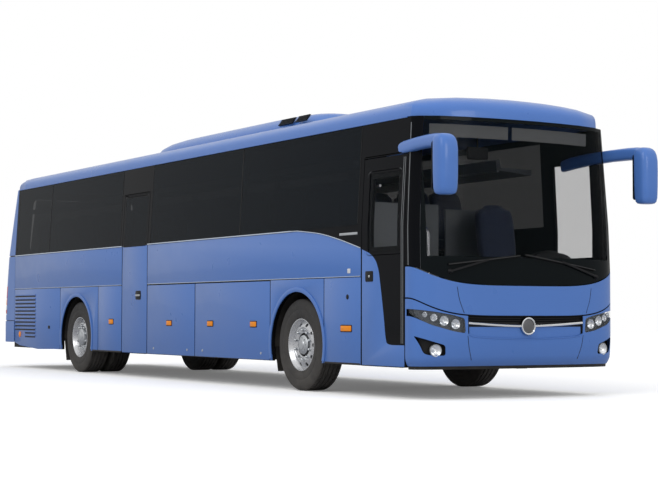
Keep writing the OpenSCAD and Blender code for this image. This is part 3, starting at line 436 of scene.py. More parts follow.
BLUE = (0.072, 0.178, 0.500)
M = {
    # the blue's ground mask darkens the paint below 0.6 m: partly road dust, partly painted shade for the darker lower
    # body
    "blue": make_finish("body_blue", BLUE, 0.30, specular=0.25, drift=(0.8, 0.06), dust_and_shade=(0.60, 0.16),
                        coat=0.22),
    "black_gloss": make_finish("gloss_black", (0.0035, 0.0040, 0.0055), 0.10, specular=0.05, drift=(1.0, 0.3),
                               dust_and_shade=(0.7, 0.15)),
    "black_plastic": make_finish("black_plastic", (0.008, 0.008, 0.009), 0.45, specular=0.2, drift=(6, 0.3),
                                 dust_and_shade=(0.6, 0.35), grain=(700, 0.35)),
    "grey_plastic": make_finish("dash_plastic", (0.055, 0.057, 0.060), 0.55, drift=(5, 0.15), grain=(600, 0.4)),
    "rubber": make_finish("seal_rubber", (0.007, 0.007, 0.007), 0.6, specular=0.2, drift=(8, 0.3),
                          dust_and_shade=(0.6, 0.5), grain=(500, 0.3)),
    "tyre": make_finish("tyre_rubber", (0.020, 0.020, 0.021), 0.68, specular=0.35, drift=(7, 0.35),
                        dust_and_shade=(1.3, 0.45), grain=(400, 0.5)),
    "steel": make_finish("silver_lacquer", (0.60, 0.61, 0.63), 0.24, metallic=0.85, drift=(9, 0.12),
                         dust_and_shade=(1.2, 0.20), grain=(600, 0.06)),
    "chrome": make_finish("chrome", (0.78, 0.79, 0.80), 0.10, metallic=1.0, drift=(6, 0.05), grain=(300, 0.02)),
    "alloy": make_finish("satin_alloy", (0.50, 0.52, 0.54), 0.35, metallic=0.9, drift=(6, 0.12), grain=(600, 0.15)),
    # pale blue-grey metal for the belt, swoosh and flap-line strips: a trim colour lightened into a painted highlight
    "trim": make_finish("trim_with_painted_highlight", (0.55, 0.62, 0.72), 0.22, metallic=0.6, drift=(4, 0.10), grain=(500, 0.05)),
    "frame_trim": make_finish("window_frame_grey", (0.17, 0.18, 0.19), 0.4, drift=(5, 0.15), grain=(500, 0.15)),
    "frame_paint": make_finish("chassis_paint", (0.022, 0.022, 0.024), 0.55, drift=(5, 0.3), dust_and_shade=(1.1, 0.6),
                               grain=(250, 0.5)),
    "cast": make_finish("cast_iron", (0.045, 0.043, 0.041), 0.6, drift=(9, 0.35), dust_and_shade=(1.2, 0.7), grain=(180, 0.9)),
    "dark_glass": make_glass("side_glass", (0.0035, 0.0065, 0.0100), 0.80, 0.05),
    "clear_glass": make_glass("windscreen_glass", (0.004, 0.0060, 0.0070), 0.24, 0.06,
                              clear_zone=(1.150, 1.440, 2.800)),
    "cab_glass": make_glass("cab_glass", (0.010, 0.013, 0.014), 0.12, 0.06),
    "lens": make_glass("lamp_lens", (0.30, 0.33, 0.36), 0.09, 0.45),
    "reflector": make_finish("lamp_reflector", (0.82, 0.84, 0.87), 0.16, metallic=1.0, drift=(30, 0.15),
                             grain=(150, 0.3)),
    "lamp_tray": make_finish("lamp_tray", (0.045, 0.050, 0.060), 0.3, metallic=0.4, drift=(20, 0.2), grain=(300, 0.2)),
    "bulb": make_finish("bulb_glass", (0.88, 0.90, 0.93), 0.12, specular=0.8, drift=(40, 0.12), grain=(120, 0.2)),
    "red": make_finish("red_lens", (0.50, 0.012, 0.014), 0.14, specular=0.3, drift=(30, 0.2), grain=(140, 0.6)),
    "amber": make_finish("amber_lens", (0.88, 0.27, 0.008), 0.16, specular=0.25, drift=(30, 0.2), grain=(140, 0.6)),
    "white_lens": make_finish("white_lens", (0.75, 0.76, 0.78), 0.2, drift=(30, 0.1), grain=(140, 0.5)),
    "floor": make_finish("floor_vinyl", (0.085, 0.09, 0.10), 0.5, drift=(140, 0.9), grain=(260, 0.3)),
    "panel_grey": make_finish("panel_grey", (0.20, 0.215, 0.23), 0.5, drift=(4, 0.12), grain=(500, 0.3)),
    "liner": make_finish("arch_liner", (0.012, 0.012, 0.012), 0.8, specular=0.2, drift=(5, 0.4), dust_and_shade=(1.2, 0.5),
                         grain=(220, 0.8)),
    "hold": make_finish("hold_lining", (0.24, 0.25, 0.26), 0.6, drift=(12, 0.25), grain=(300, 0.4)),
    "blind": make_finish("blind_cloth", (0.20, 0.205, 0.21), 0.9, drift=(40, 0.15), grain=(900, 0.8)),
    "mirror": make_finish("mirror_glass", (0.80, 0.82, 0.84), 0.03, metallic=1.0, drift=(2, 0.03)),
    "badge": make_finish("plain_badge", (0.13, 0.13, 0.135), 0.3, metallic=0.6, drift=(20, 0.1), grain=(400, 0.1)),
    "pale": make_finish("pale_strip", (0.62, 0.63, 0.65), 0.35, drift=(20, 0.1), grain=(300, 0.1)),
}


def make_cloth():
    """Seat cover: woven blue with a woven lighter fleck, and a soft sheen."""
    mat = make_finish("seat_cloth", (0.045, 0.060, 0.115), 0.9, specular=0.2, drift=(3, 0.15))
    tree = mat.node_tree
    shader = tree.nodes["Principled BSDF"]
    shader.inputs["Sheen Weight"].default_value = 0.35
    shader.inputs["Sheen Roughness"].default_value = 0.5
    weave = place_group(tree, WEAVE, Threads=1400.0)
    bump = add_node(tree, "ShaderNodeBump", {"Height": weave.outputs["Height"]}, Distance=0.0006)
    bump.inputs["Strength"].default_value = 0.6
    tree.links.new(bump.outputs["Normal"], shader.inputs["Normal"])
    place = add_node(tree, "ShaderNodeTexCoord")
    cells = add_node(tree, "ShaderNodeTexVoronoi", {"Vector": place.outputs["Object"]}, Scale=38.0)
    fleck = add_node(tree, "ShaderNodeMapRange", {"Value": cells.outputs["Distance"]})
    fleck.inputs["From Min"].default_value = 0.30
    fleck.inputs["From Max"].default_value = 0.12
    thread = maths(tree, "MULTIPLY", fleck.outputs[0], weave.outputs["Thread"])
    blend = add_node(tree, "ShaderNodeMix", {"Factor": thread}, data_type="RGBA")
    base = shader.inputs["Base Color"].links[0].from_socket
    tree.links.new(base, blend.inputs[6])
    blend.inputs[7].default_value = (0.16, 0.22, 0.36, 1)
    tree.links.new(blend.outputs[2], shader.inputs["Base Color"])
    return mat


M["cloth"] = make_cloth()


# ---- making pieces ----

def recalc(bm):
    """Turns the faces of a closed shape outwards."""
    bmesh.ops.recalc_face_normals(bm, faces=bm.faces[:])


def face_towards(bm, direction):
    """Turns an open sheet so that it faces direction."""
    bm.normal_update()
    total = sum((f.normal * f.calc_area() for f in bm.faces), Vector())
    if total.dot(Vector(direction)) < 0:
        bmesh.ops.reverse_faces(bm, faces=bm.faces[:])


def add_modifier(obj, kind, **values):
    """Adds a modifier with its settings."""
    mod = obj.modifiers.new(kind.lower(), kind)
    for key, value in values.items():
        setattr(mod, key, value)
    return mod


def settle(obj):
    """Applies the modifiers of an object to its mesh."""
    bpy.context.view_layer.update()
    graph = bpy.context.evaluated_depsgraph_get()
    made = bpy.data.meshes.new_from_object(obj.evaluated_get(graph))
    obj.modifiers.clear()
    obj.data = made


def mark_sharp(mesh, degrees):
    """Smooth shading, broken at edges that turn by more than degrees."""
    bm = bmesh.new()
    bm.from_mesh(mesh)
    limit = math.radians(degrees)
    for f in bm.faces:
        f.smooth = True
    for e in bm.edges:
        e.smooth = len(e.link_faces) == 2 and e.calc_face_angle(0) < limit
    bm.to_mesh(mesh)
    bm.free()


def new_object(name, bm):
    """Object at the origin that takes over a bmesh."""
    mesh = bpy.data.meshes.new(name)
    bm.to_mesh(mesh)
    bm.free()
    obj = bpy.data.objects.new(name, mesh)
    bpy.context.scene.collection.objects.link(obj)
    return obj


def build(name, bm, finish, body="body", thick=0.0, cutters=(), bevel=0.0, rounds=2, sharp=35, weighted=False):
    """Makes a piece from a bmesh: wall thickness inwards, openings cut, edges rounded, finish and body."""
    obj = new_object(name, bm)
    if thick:
        add_modifier(obj, "SOLIDIFY", thickness=thick, offset=-1.0, use_even_offset=True)
    for cutter in cutters:
        add_modifier(obj, "BOOLEAN", object=cutter, operation="DIFFERENCE", solver="EXACT")
    if bevel:
        add_modifier(obj, "BEVEL", width=bevel, segments=rounds, limit_method="ANGLE",
                     angle_limit=math.radians(38), harden_normals=False)
    if obj.modifiers:
        settle(obj)
    mark_sharp(obj.data, sharp)
    if weighted:
        add_modifier(obj, "WEIGHTED_NORMAL", keep_sharp=True)
        settle(obj)
    obj.data.materials.clear()
    obj.data.materials.append(M[finish])
    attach(obj, body)
    return obj


def drop(objects):
    """Removes cutters once they have been used."""
    for o in objects:
        bpy.data.objects.remove(o, do_unlink=True)


def round_corners(points, radius, steps=5):
    """Outline with its corners rounded; a point may carry its own radius as a third number."""
    out = []
    count = len(points)
    for k in range(count):
        here = Vector(points[k][:2])
        back = Vector(points[k - 1][:2])
        ahead = Vector(points[(k + 1) % count][:2])
        r = points[k][2] if len(points[k]) > 2 else radius
        r = min(r, (here - back).length * 0.48, (ahead - here).length * 0.48)
        a = here + (back - here).normalized() * r
        b = here + (ahead - here).normalized() * r
        if r < 1e-5:
            out.append(here)
            continue
        for s in range(steps + 1):
            u = s / steps
            out.append(a * (1 - u) ** 2 + here * 2 * u * (1 - u) + b * u ** 2)
    return out


def smooth_line(points, steps=6):
    """Catmull-Rom line through points of any dimension."""
    pts = [Vector(p) for p in points]
    ends = [pts[0] * 2 - pts[1]] + pts + [pts[-1] * 2 - pts[-2]]
    out = []
    for k in range(1, len(ends) - 2):
        p0, p1, p2, p3 = ends[k - 1:k + 3]
        for s in range(steps):
            u = s / steps
            out.append(0.5 * ((2 * p1) + (p2 - p0) * u + (2 * p0 - 5 * p1 + 4 * p2 - p3) * u ** 2
                              + (3 * p1 - p0 - 3 * p2 + p3) * u ** 3))
    out.append(pts[-1])
    return out


def outline_face(bm, points):
    """One face over an outline of points."""
    verts = [bm.verts.new(p) for p in points]
    return bm.faces.new(verts)


def prism(outline, axis, low, high):
    """Closed prism over an outline: along X it is (y, z), along Y (x, z), along Z (x, y)."""
    put = {"X": lambda p, d: (d, p[0], p[1]), "Y": lambda p, d: (p[0], d, p[1]), "Z": lambda p, d: (p[0], p[1], d)}
    bm = bmesh.new()
    face = outline_face(bm, [put[axis](p, low) for p in outline])
    made = bmesh.ops.extrude_face_region(bm, geom=[face])
    moved = [g for g in made["geom"] if isinstance(g, bmesh.types.BMVert)]
    bmesh.ops.translate(bm, verts=moved, vec=Vector(put[axis]((0, 0), high - low)))
    recalc(bm)
    return bm


def cutter(bm):
    """Object that cuts openings and is dropped afterwards."""
    obj = new_object("cutter", bm)
    obj.display_type = "WIRE"
    return obj


def both_sides(outline):
    """An outline of (y, z) and its mirror image."""
    return [outline, [(-p[0], p[1]) for p in outline]]


def rectangle(x0, x1, z0, z1):
    """Corners of an upright rectangle."""
    return [(x0, z0), (x1, z0), (x1, z1), (x0, z1)]


def slice_at(bm, axis, values):
    """Cuts the faces of a bmesh at planes across an axis."""
    normal = Vector((axis == "X", axis == "Y", axis == "Z"))
    for value in values:
        bmesh.ops.bisect_plane(bm, geom=bm.verts[:] + bm.edges[:] + bm.faces[:], plane_co=normal * value,
                               plane_no=normal, dist=1e-6)


def lay_on_side(bm, side, out):
    """Moves a flat sheet onto one side of the body, following the lean of the wall."""
    for v in bm.verts:
        v.co.y = side * (side_out(v.co.z) + out)
    face_towards(bm, (0, side, 0))


def side_line(points, side, out):
    """Path through (x, z) points on one side of the body."""
    return [Vector((x, side * (side_out(z) + out), z)) for x, z in points]


def sheet(columns, rows, place):
    """Grid of columns by rows quads with each corner put at place(u, v)."""
    bm = bmesh.new()
    bmesh.ops.create_grid(bm, x_segments=columns, y_segments=rows, size=1.0)
    for v in bm.verts:
        v.co = place((v.co.x + 1) / 2, (v.co.y + 1) / 2)
    return bm


def loft(rings, caps=True):
    """Skin over rings of points that have the same count, made by extruding the first ring."""
    bm = bmesh.new()
    verts = [bm.verts.new(p) for p in rings[0]]
    count = len(verts)
    edges = [bm.edges.new((verts[k], verts[(k + 1) % count])) for k in range(count)]
    if caps:
        bm.faces.new(verts)
    for ring in rings[1:]:
        made = bmesh.ops.extrude_edge_only(bm, edges=edges)
        new_verts = {g for g in made["geom"] if isinstance(g, bmesh.types.BMVert)}
        edges = [g for g in made["geom"] if isinstance(g, bmesh.types.BMEdge)
                 and g.verts[0] in new_verts and g.verts[1] in new_verts]
        follow = {}
        for v in new_verts:
            for e in v.link_edges:
                other = e.other_vert(v)
                if other not in new_verts:
                    follow[other] = v
        verts = [follow[v] for v in verts]
        for v, p in zip(verts, ring):
            v.co = p
    if caps:
        bm.faces.new(verts)
    recalc(bm)
    return bm


def rounded_ring(cx, cy, half_a, half_b, power=4.0, count=20):
    """Superellipse in its own plane, as (a, b) pairs."""
    out = []
    for k in range(count):
        a = 2 * math.pi * (k + 0.5) / count
        ca, sa = math.cos(a), math.sin(a)
        out.append((cx + math.copysign(half_a * abs(ca) ** (2 / power), ca),
                    cy + math.copysign(half_b * abs(sa) ** (2 / power), sa)))
    return out


def strip(name, path, outward, width, height, finish, body="body", sink=0.002):
    """Moulding along a path: width across, height out from the surface, with rounded shoulders."""
    path = [Vector(p) for p in path]
    rings = []
    for k, p in enumerate(path):
        along = (path[min(k + 1, len(path) - 1)] - path[max(k - 1, 0)]).normalized()
        out = Vector(outward[k] if isinstance(outward, list) else outward).normalized()
        across = out.cross(along).normalized()
        w, h = width / 2, height
        rings.append([p - across * w - out * sink, p - across * w + out * h * 0.6, p - across * w * 0.6 + out * h,
                      p + across * w * 0.6 + out * h, p + across * w + out * h * 0.6, p + across * w - out * sink])
    return build(name, loft(rings), finish, body)


def lathe(profile, centre, axis="Y", steps=48):
    """Closed turning of a profile of (radius, distance along the axis)."""
    bm = bmesh.new()
    lead = {"Y": lambda r, d: (r, d, 0), "X": lambda r, d: (d, r, 0), "Z": lambda r, d: (r, 0, d)}[axis]
    turn = {"Y": (0, 1, 0), "X": (1, 0, 0), "Z": (0, 0, 1)}[axis]
    verts = [bm.verts.new(lead(r, d)) for r, d in profile]
    edges = [bm.edges.new((verts[k], verts[k + 1])) for k in range(len(verts) - 1)]
    bmesh.ops.spin(bm, geom=verts + edges, cent=(0, 0, 0), axis=turn, angle=2 * math.pi, steps=steps,
                   use_merge=True)
    bmesh.ops.remove_doubles(bm, verts=bm.verts[:], dist=1e-5)
    bmesh.ops.translate(bm, verts=bm.verts[:], vec=Vector(centre))
    recalc(bm)
    return bm


def block(bm, low, high, bevel=0.0, segments=2):
    """Adds a box with rounded edges to a bmesh."""
    low, high = Vector(low), Vector(high)
    made = bmesh.ops.create_cube(bm, size=1.0)
    for v in made["verts"]:
        v.co = Vector((low[k] + (high[k] - low[k]) * (v.co[k] + 0.5) for k in range(3)))
    if bevel:
        edges = list({e for v in made["verts"] for e in v.link_edges})
        bmesh.ops.bevel(bm, geom=edges, offset=bevel, segments=segments, profile=0.5, affect="EDGES",
                        material=-1)
    return bm


def join_in(bm, other):
    """Adds one bmesh to another."""
    mesh = bpy.data.meshes.new("part")
    other.to_mesh(mesh)
    other.free()
    bm.from_mesh(mesh)
    bpy.data.meshes.remove(mesh)
    return bm


def carry(node, finish):
    """A CAD node that stays as it is gets its finish."""
    obj = nodes[node]
    obj.data.materials.clear()
    obj.data.materials.append(M[finish])


# ---- painted skins on the flat sides ----

PROUD = 0.003
SKIN = 0.006


def side_skin(name, outline, side, body="body", radius=None, bends=(BELT_Z,), out=PROUD, depth=SKIN):
    """Blue panel skin over an outline of (x, z) on one side of the body, following the lean of the wall."""
    bm = bmesh.new()
    points = round_corners(outline, radius) if radius else [Vector(p) for p in outline]
    outline_face(bm, [(p.x, 0, p.y) for p in points])
    slice_at(bm, "Z", bends)
    lay_on_side(bm, side, out)
    return build(name, bm, "blue", body, thick=depth, bevel=0.0022)


def arch_points(axle_x, radius, z_end, count=26):
    """Points (x, z) over a wheel arch, from the front foot to the back foot."""
    low = math.asin(clamp((z_end - AXLE_Z) / radius, -1, 1))
    angles = np.linspace(low, math.pi - low, count)
    return [(axle_x + radius * math.cos(a), AXLE_Z + radius * math.sin(a)) for a in angles]


SEAM = 0.007
EDGE = 0.004
DOOR_FOOT_Z = 0.542
BELT_LINE = 1.772
FLAP_LINE = 1.240
ARCH_EDGE = ARCH_R + 0.004
SWOOSH = smooth_line([(3.455, 1.772), (3.945, 1.722), (4.375, 1.640), (4.800, 1.537)], 6)
SWOOSH_DOOR = smooth_line([(4.818, 1.531), (4.985, 1.478), (5.095, 1.397), (5.150, 1.290), (5.178, 1.170),
                           (5.222, 0.960), (5.253, 0.790), (5.285, 0.610), (5.345, 0.548), (5.640, DOOR_FOOT_Z)], 6)
TRIM_Z = 1.7825
REAR_SEAM_X = -3.815
MID_SEAM_X = -2.335
FRONT_SEAM_X = 4.040
DOOR_SEAM_X = 4.800
SWOOSH_START_X = 3.30


def reversed_pairs(line):
    """Points of a line as pairs, from its end to its start."""
    return [(p.x, p.y) for p in reversed(line)]


def build_side(side, tag):
    """Blue skins, flap skins, arch lips, bright strips and sills of one side."""
    x0 = SIDE_BACK_X + 0.006
    x1 = SIDE_FRONT_X - 0.002
    rear_foot, ahead_rear = REAR_AXLE_X - ARCH_EDGE, REAR_AXLE_X + ARCH_EDGE
    behind_front, front_foot = FRONT_AXLE_X - ARCH_EDGE, FRONT_AXLE_X + ARCH_EDGE
    right = side < 0
    belt_low = FLAP_LINE + SEAM
    before_door, after_door = MID_DOOR[0] - DOOR_SEAM - 0.004, MID_DOOR[1] + DOOR_SEAM + 0.004
    # belt panels between the flap line and the glass
    if right:
        side_skin(f"belt_back_{tag}", rectangle(x0, before_door, belt_low, BELT_LINE), side, radius=0.004)
        front = [(after_door, belt_low), (DOOR_SEAM_X, belt_low), *reversed_pairs(SWOOSH), (after_door, BELT_LINE)]
        side_skin(f"belt_front_{tag}", front, side)
    else:
        drop_line = [p for p in SWOOSH_DOOR if p.y > belt_low]
        side_skin(f"belt_{tag}", [(x0, belt_low), (drop_line[-1].x + 0.004, belt_low), *reversed_pairs(drop_line),
                                  *reversed_pairs(SWOOSH), (x0, BELT_LINE)], side)
    # lower fixed panels: behind the rear wheel, over it, ahead of it, and round the front wheel
    low = SKIRT_Z + 0.004
    mid_end = before_door if right else BAY_X0 - SEAM
    front_x = FRONT_SEAM_X + SEAM
    if right:
        ahead_front = rectangle(front_x, DOOR_SEAM_X, low, FLAP_LINE)
    else:
        tuck = [p for p in SWOOSH_DOOR if p.y < FLAP_LINE]
        ahead_front = [(front_x, low), (x1, low), (x1, DOOR_FOOT_Z), *reversed_pairs(tuck), (tuck[0].x, FLAP_LINE),
                       (front_x, FLAP_LINE)]
    panels = {
        "tail_lower": [(REAR_SEAM_X - SEAM, low), (REAR_SEAM_X - SEAM, FLAP_LINE), (x0, FLAP_LINE), (x0, 0.398),
                       (-5.565, 0.352), (-4.755, 0.306)],
        "rear_arch_panel": [(rear_foot, low), (REAR_SEAM_X + SEAM, low), (REAR_SEAM_X + SEAM, FLAP_LINE),
                            (MID_SEAM_X - SEAM, FLAP_LINE), (MID_SEAM_X - SEAM, low), (ahead_rear, low),
                            *arch_points(REAR_AXLE_X, ARCH_EDGE, low)],
        "ahead_rear_wheel": rectangle(MID_SEAM_X + SEAM, mid_end, low, FLAP_LINE),
        "front_arch_panel": [(behind_front, low), (BAY_X1 + SEAM, low), (BAY_X1 + SEAM, FLAP_LINE),
                             (FRONT_SEAM_X - SEAM, FLAP_LINE), (FRONT_SEAM_X - SEAM, low), (front_foot, low),
                             *arch_points(FRONT_AXLE_X, ARCH_EDGE, low)],
        "ahead_front_wheel": ahead_front,
    }
    for label, outline in panels.items():
        side_skin(f"{label}_{tag}", outline, side, bends=())
    # luggage flaps ride on their own hinges
    for label, a, b in (("rear", BAY_X0, FLAP_SPLIT_X), ("front", FLAP_SPLIT_X, BAY_X1)):
        outline = rectangle(a + FLAP_GAP + EDGE, b - FLAP_GAP - EDGE, low + 0.002, FLAP_LINE - 0.008)
        side_skin(f"flap_skin_{tag}_{label}", outline, side, f"luggage_flap_{tag}_{label}", 0.010, ())
    # wheel arch lips
    for label, axle_x in (("rear", REAR_AXLE_X), ("front", FRONT_AXLE_X)):
        path = side_line(arch_points(axle_x, ARCH_R + 0.026, 0.345, 44), side, 0.004)
        strip(f"arch_lip_{label}_{tag}", path, (0, side, 0), 0.050, 0.010, "blue", sink=0.008)
    # bright strip under the glass: a trim moulding whose pale colour is partly a painted highlight
    belts = {"back": (x0, before_door), "front": (after_door, SWOOSH_START_X)} if right else \
        {"back": (x0, SWOOSH_START_X)}
    for label, ends in belts.items():
        path = [Vector((x, side * (HALF_W + 0.003), TRIM_Z)) for x in ends]
        strip(f"belt_trim_highlight_{label}_{tag}", path, (0, side, 0), 0.014, 0.007, "trim")
    # pale ribbon along the swoosh edge: a painted highlight on the edge of the blue
    curve = [(SWOOSH_START_X, TRIM_Z)] + [(p.x, p.y + 0.008) for p in SWOOSH]
    if not right:
        curve += [(p.x, p.y + 0.006) for p in SWOOSH_DOOR[1:] if p.y > FLAP_LINE]
    strip(f"swoosh_highlight_{tag}", side_line(curve, side, 0.003), (0, side, 0), 0.010, 0.006, "trim")
    # dark sill strip along the foot of the body
    for label, a, b in (("tail", -3.80, rear_foot - 0.03), ("mid", ahead_rear + 0.03, mid_end),
                        ("front", front_foot + 0.03, 4.79 if right else 5.60)):
        if b - a > 0.05:
            path = side_line([(x, SKIRT_Z + 0.013) for x in (a, b)], side, -0.006)
            strip(f"sill_{label}_{tag}", path, (0, side, 0), 0.022, 0.011, "black_plastic")


for side_sign, side_tag in SIDES:
    build_side(side_sign, side_tag)

# the doors: blue below the swoosh on the front one, and below the belt line on the middle one
door_x0, door_x1 = FRONT_DOOR[0] + EDGE, FRONT_DOOR[1] - EDGE
door_low = SKIRT_Z + 0.006
front_blue = [(door_x0, door_low), (door_x1, door_low), (door_x1, DOOR_FOOT_Z)]
front_blue += [(max(x, door_x0), z) for x, z in reversed_pairs(SWOOSH_DOOR) if x < FRONT_DOOR[1] - 0.02]
side_skin("front_door_blue", front_blue, -1, "front_door", bends=(), out=0.002, depth=0.004)
side_skin("mid_door_lower", rectangle(MID_DOOR[0] + EDGE, MID_DOOR[1] - EDGE, door_low, BELT_LINE), -1, "mid_door",
          0.012, (), 0.002, 0.004)

# ---- nose ----

HEAD_OUTLINE = [(-1.300, 0.912), (-1.255, 0.902), (-1.089, 0.880), (-0.899, 0.848), (-0.769, 0.814),
                (-0.758, 0.664), (-0.900, 0.686), (-1.116, 0.746), (-1.214, 0.794), (-1.300, 0.850)]
FOG_OUTLINE = [(-1.262, 0.640), (-1.231, 0.626), (-1.113, 0.586), (-0.976, 0.546), (-0.966, 0.442),
               (-1.123, 0.446), (-1.185, 0.462), (-1.225, 0.560)]
NOSE_COLUMNS = 112


def nose_skin(name, low, high, rows, finish, cutters=(), out=PROUD, depth=SKIN, span=None, bevel=0.0022):
    """Skin on the nose between a lower and an upper edge, or on a span of angles; it tucks in at the chin."""
    def place(u, v):
        t = angle_at(NOSE_WAY, u, span)
        z = lerp(edge_height(low, t), edge_height(high, t), v)
        return skin_point(nose_point, t, z, out - 0.030 * clamp((0.43 - z) / 0.095) ** 2, 4.5)
    bm = sheet(NOSE_COLUMNS, rows, place)
    face_towards(bm, (1, 0, 0))
    return build(name, bm, finish, thick=depth, cutters=cutters, bevel=bevel, sharp=30, weighted=True)


def nose_cutter(outline, radius, back_x):
    """Cutter through the nose over an outline of (y, z)."""
    return cutter(prism(round_corners(outline, radius), "X", back_x, 6.3))


head_cutters = [nose_cutter(o, 0.03, 5.668) for o in both_sides(HEAD_OUTLINE)]
fog_cutters = [nose_cutter(o, 0.03, 5.668) for o in both_sides(FOG_OUTLINE)]
grille_outline = [(-0.735, 0.845), (-0.732, 0.655), (-0.650, 0.628), (-0.360, 0.609), (0, 0.598),
                  (0.360, 0.609), (0.650, 0.628), (0.732, 0.655), (0.735, 0.845)]
grille_cutter = nose_cutter(grille_outline, 0.02, 5.5)

bumper = nose_skin("bumper_skin", CHIN_Z, lambda t: hood_low(t) - SEAM, 26, "blue",
                   head_cutters + fog_cutters + [grille_cutter])
hood = nose_skin("hood_skin", lambda t: hood_low(t) + SEAM, lambda t: screen_low(t) - 0.006, 16, "blue",
                 head_cutters)
nose_skin("chin_strip", 0.302, CHIN_Z + 0.014, 3, "black_plastic", out=-0.005)
nose_skin("nose_backing", CHIN_Z + 0.01, lambda t: screen_low(t) - 0.03, 20, "black_plastic",
          head_cutters + fog_cutters, out=-0.030, depth=0.012, bevel=0)
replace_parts(bumper, "front_bumper")
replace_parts(hood, "front_mask")


# seams of the bumper corners and the hood, as dark lines laid just over the paint
def nose_line(name, points, width=0.006, finish="rubber", height=0.0012, out=PROUD):
    """Line over the nose through points of (y, z)."""
    path, outs = [], []
    for y, z in smooth_line(points, 5):
        t = nose_angle(y, z)
        outs.append(nose_normal(t, z))
        path.append(nose_point(t, z) + outs[-1] * out)
    return strip(name, path, outs, width, height, finish)


for k, tag in SIDES:
    nose_line(f"bumper_seam_{tag}", [(k * 0.735, 0.640), (k * 0.715, 0.52), (k * 0.675, 0.395)])
    nose_line(f"mask_seam_{tag}", [(k * 0.855, 1.130), (k * 0.830, 1.0), (k * 0.778, 0.868)])

# headlamp units: dark tray, round reflectors with a bulb, and a clear lens that follows the nose
LAMPS = [(0.865, 0.757, 0.046), (0.990, 0.790, 0.046), (1.095, 0.822, 0.034), (1.180, 0.850, 0.024)]
FOG_LAMP = (1.069, 0.494, 0.050)
PATCH_CELLS = (28, 14)


def nose_patch(name, outline, out, finish, thick=0.003):
    """Skin that covers an outline of (y, z) on the nose."""
    ys, zs = zip(*outline)
    bm = bmesh.new()
    outline_face(bm, [(0, p.x, p.y) for p in round_corners(outline, 0.03)])
    slice_at(bm, "Y", [lerp(min(ys), max(ys), k / PATCH_CELLS[0]) for k in range(1, PATCH_CELLS[0])])
    slice_at(bm, "Z", [lerp(min(zs), max(zs), k / PATCH_CELLS[1]) for k in range(1, PATCH_CELLS[1])])
    for v in bm.verts:
        y, z = v.co.y, v.co.z
        limit = side_out(z) - 0.0005
        t = nose_angle(clamp(y, -limit, limit), z)
        v.co = nose_point(t, z) + nose_normal(t, z, 0.5) * out
    face_towards(bm, (1, 0, 0))
    return build(name, bm, finish, thick=thick, sharp=30)


def lamp_seat(y, z, sink):
    """Where a lamp sits behind the nose surface, turned half way from straight ahead to the surface's normal."""
    t = nose_angle(y, z)
    facing = nose_normal(t, z)
    ahead = Vector((1, 0, 0))
    turn = ahead.rotation_difference(ahead.lerp(facing, 0.5)).to_matrix().to_4x4()
    return Matrix.Translation(nose_point(t, z) - facing * sink) @ turn


def lamp_bowl(name, seat, radius, depth):
    """Bright bowl with a rolled rim and a bulb at its root."""
    profile = [(0, -depth), (radius * 0.25, -depth), (radius * 0.62, -depth * 0.72), (radius * 0.88, -depth * 0.3),
               (radius, 0), (radius * 1.08, 0.003), (radius * 1.10, -0.004), (radius * 0.95, -depth * 0.3),
               (radius * 0.66, -depth * 0.82), (radius * 0.3, -depth - 0.006), (0, -depth - 0.006)]
    bowl = lathe(profile, (0, 0, 0), "X", 32)
    bulb = lathe([(0, -depth - 0.002), (radius * 0.2, -depth), (radius * 0.24, -depth * 0.55),
                  (radius * 0.14, -depth * 0.32), (0, -depth * 0.28)], (0, 0, 0), "X", 16)
    for made, label, finish in ((bowl, name, "reflector"), (bulb, name + "_bulb", "bulb")):
        bmesh.ops.transform(made, matrix=seat, verts=made.verts[:])
        build(label, made, finish, sharp=45)


for k, tag in SIDES:
    outline = [(clamp(k * -y, -1.273, 1.273), z) for y, z in HEAD_OUTLINE]
    nose_patch(f"headlamp_tray_{tag}", outline, -0.060, "lamp_tray")
    lens = nose_patch(f"headlamp_lens_{tag}", outline, 0.0015, "lens")
    for j, (y, z, r) in enumerate(LAMPS):
        lamp_bowl(f"headlamp_{tag}_{j + 1}", lamp_seat(y * k, z, 0.016), r, 0.034)
    housing = nose_patch(f"fog_housing_{tag}", [(k * -y, z) for y, z in FOG_OUTLINE], -0.050, "black_plastic", 0.004)
    y, z, r = FOG_LAMP
    fog_seat = lamp_seat(y * k, z, 0.010)
    lamp_bowl(f"fog_lamp_{tag}", fog_seat, r, 0.024)
    fog_ring = lathe([(r * 1.08, -0.004), (r * 1.10, 0.006), (r * 1.22, 0.008), (r * 1.30, 0.002), (r * 1.30, -0.02),
                      (r * 1.08, -0.004)], (0, 0, 0), "X", 36)
    bmesh.ops.transform(fog_ring, matrix=fog_seat, verts=fog_ring.verts[:])
    build(f"fog_ring_{tag}", fog_ring, "alloy", sharp=45)
    if tag == "right":
        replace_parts(housing, "fog_lights")
        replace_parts(lens, "headlights")

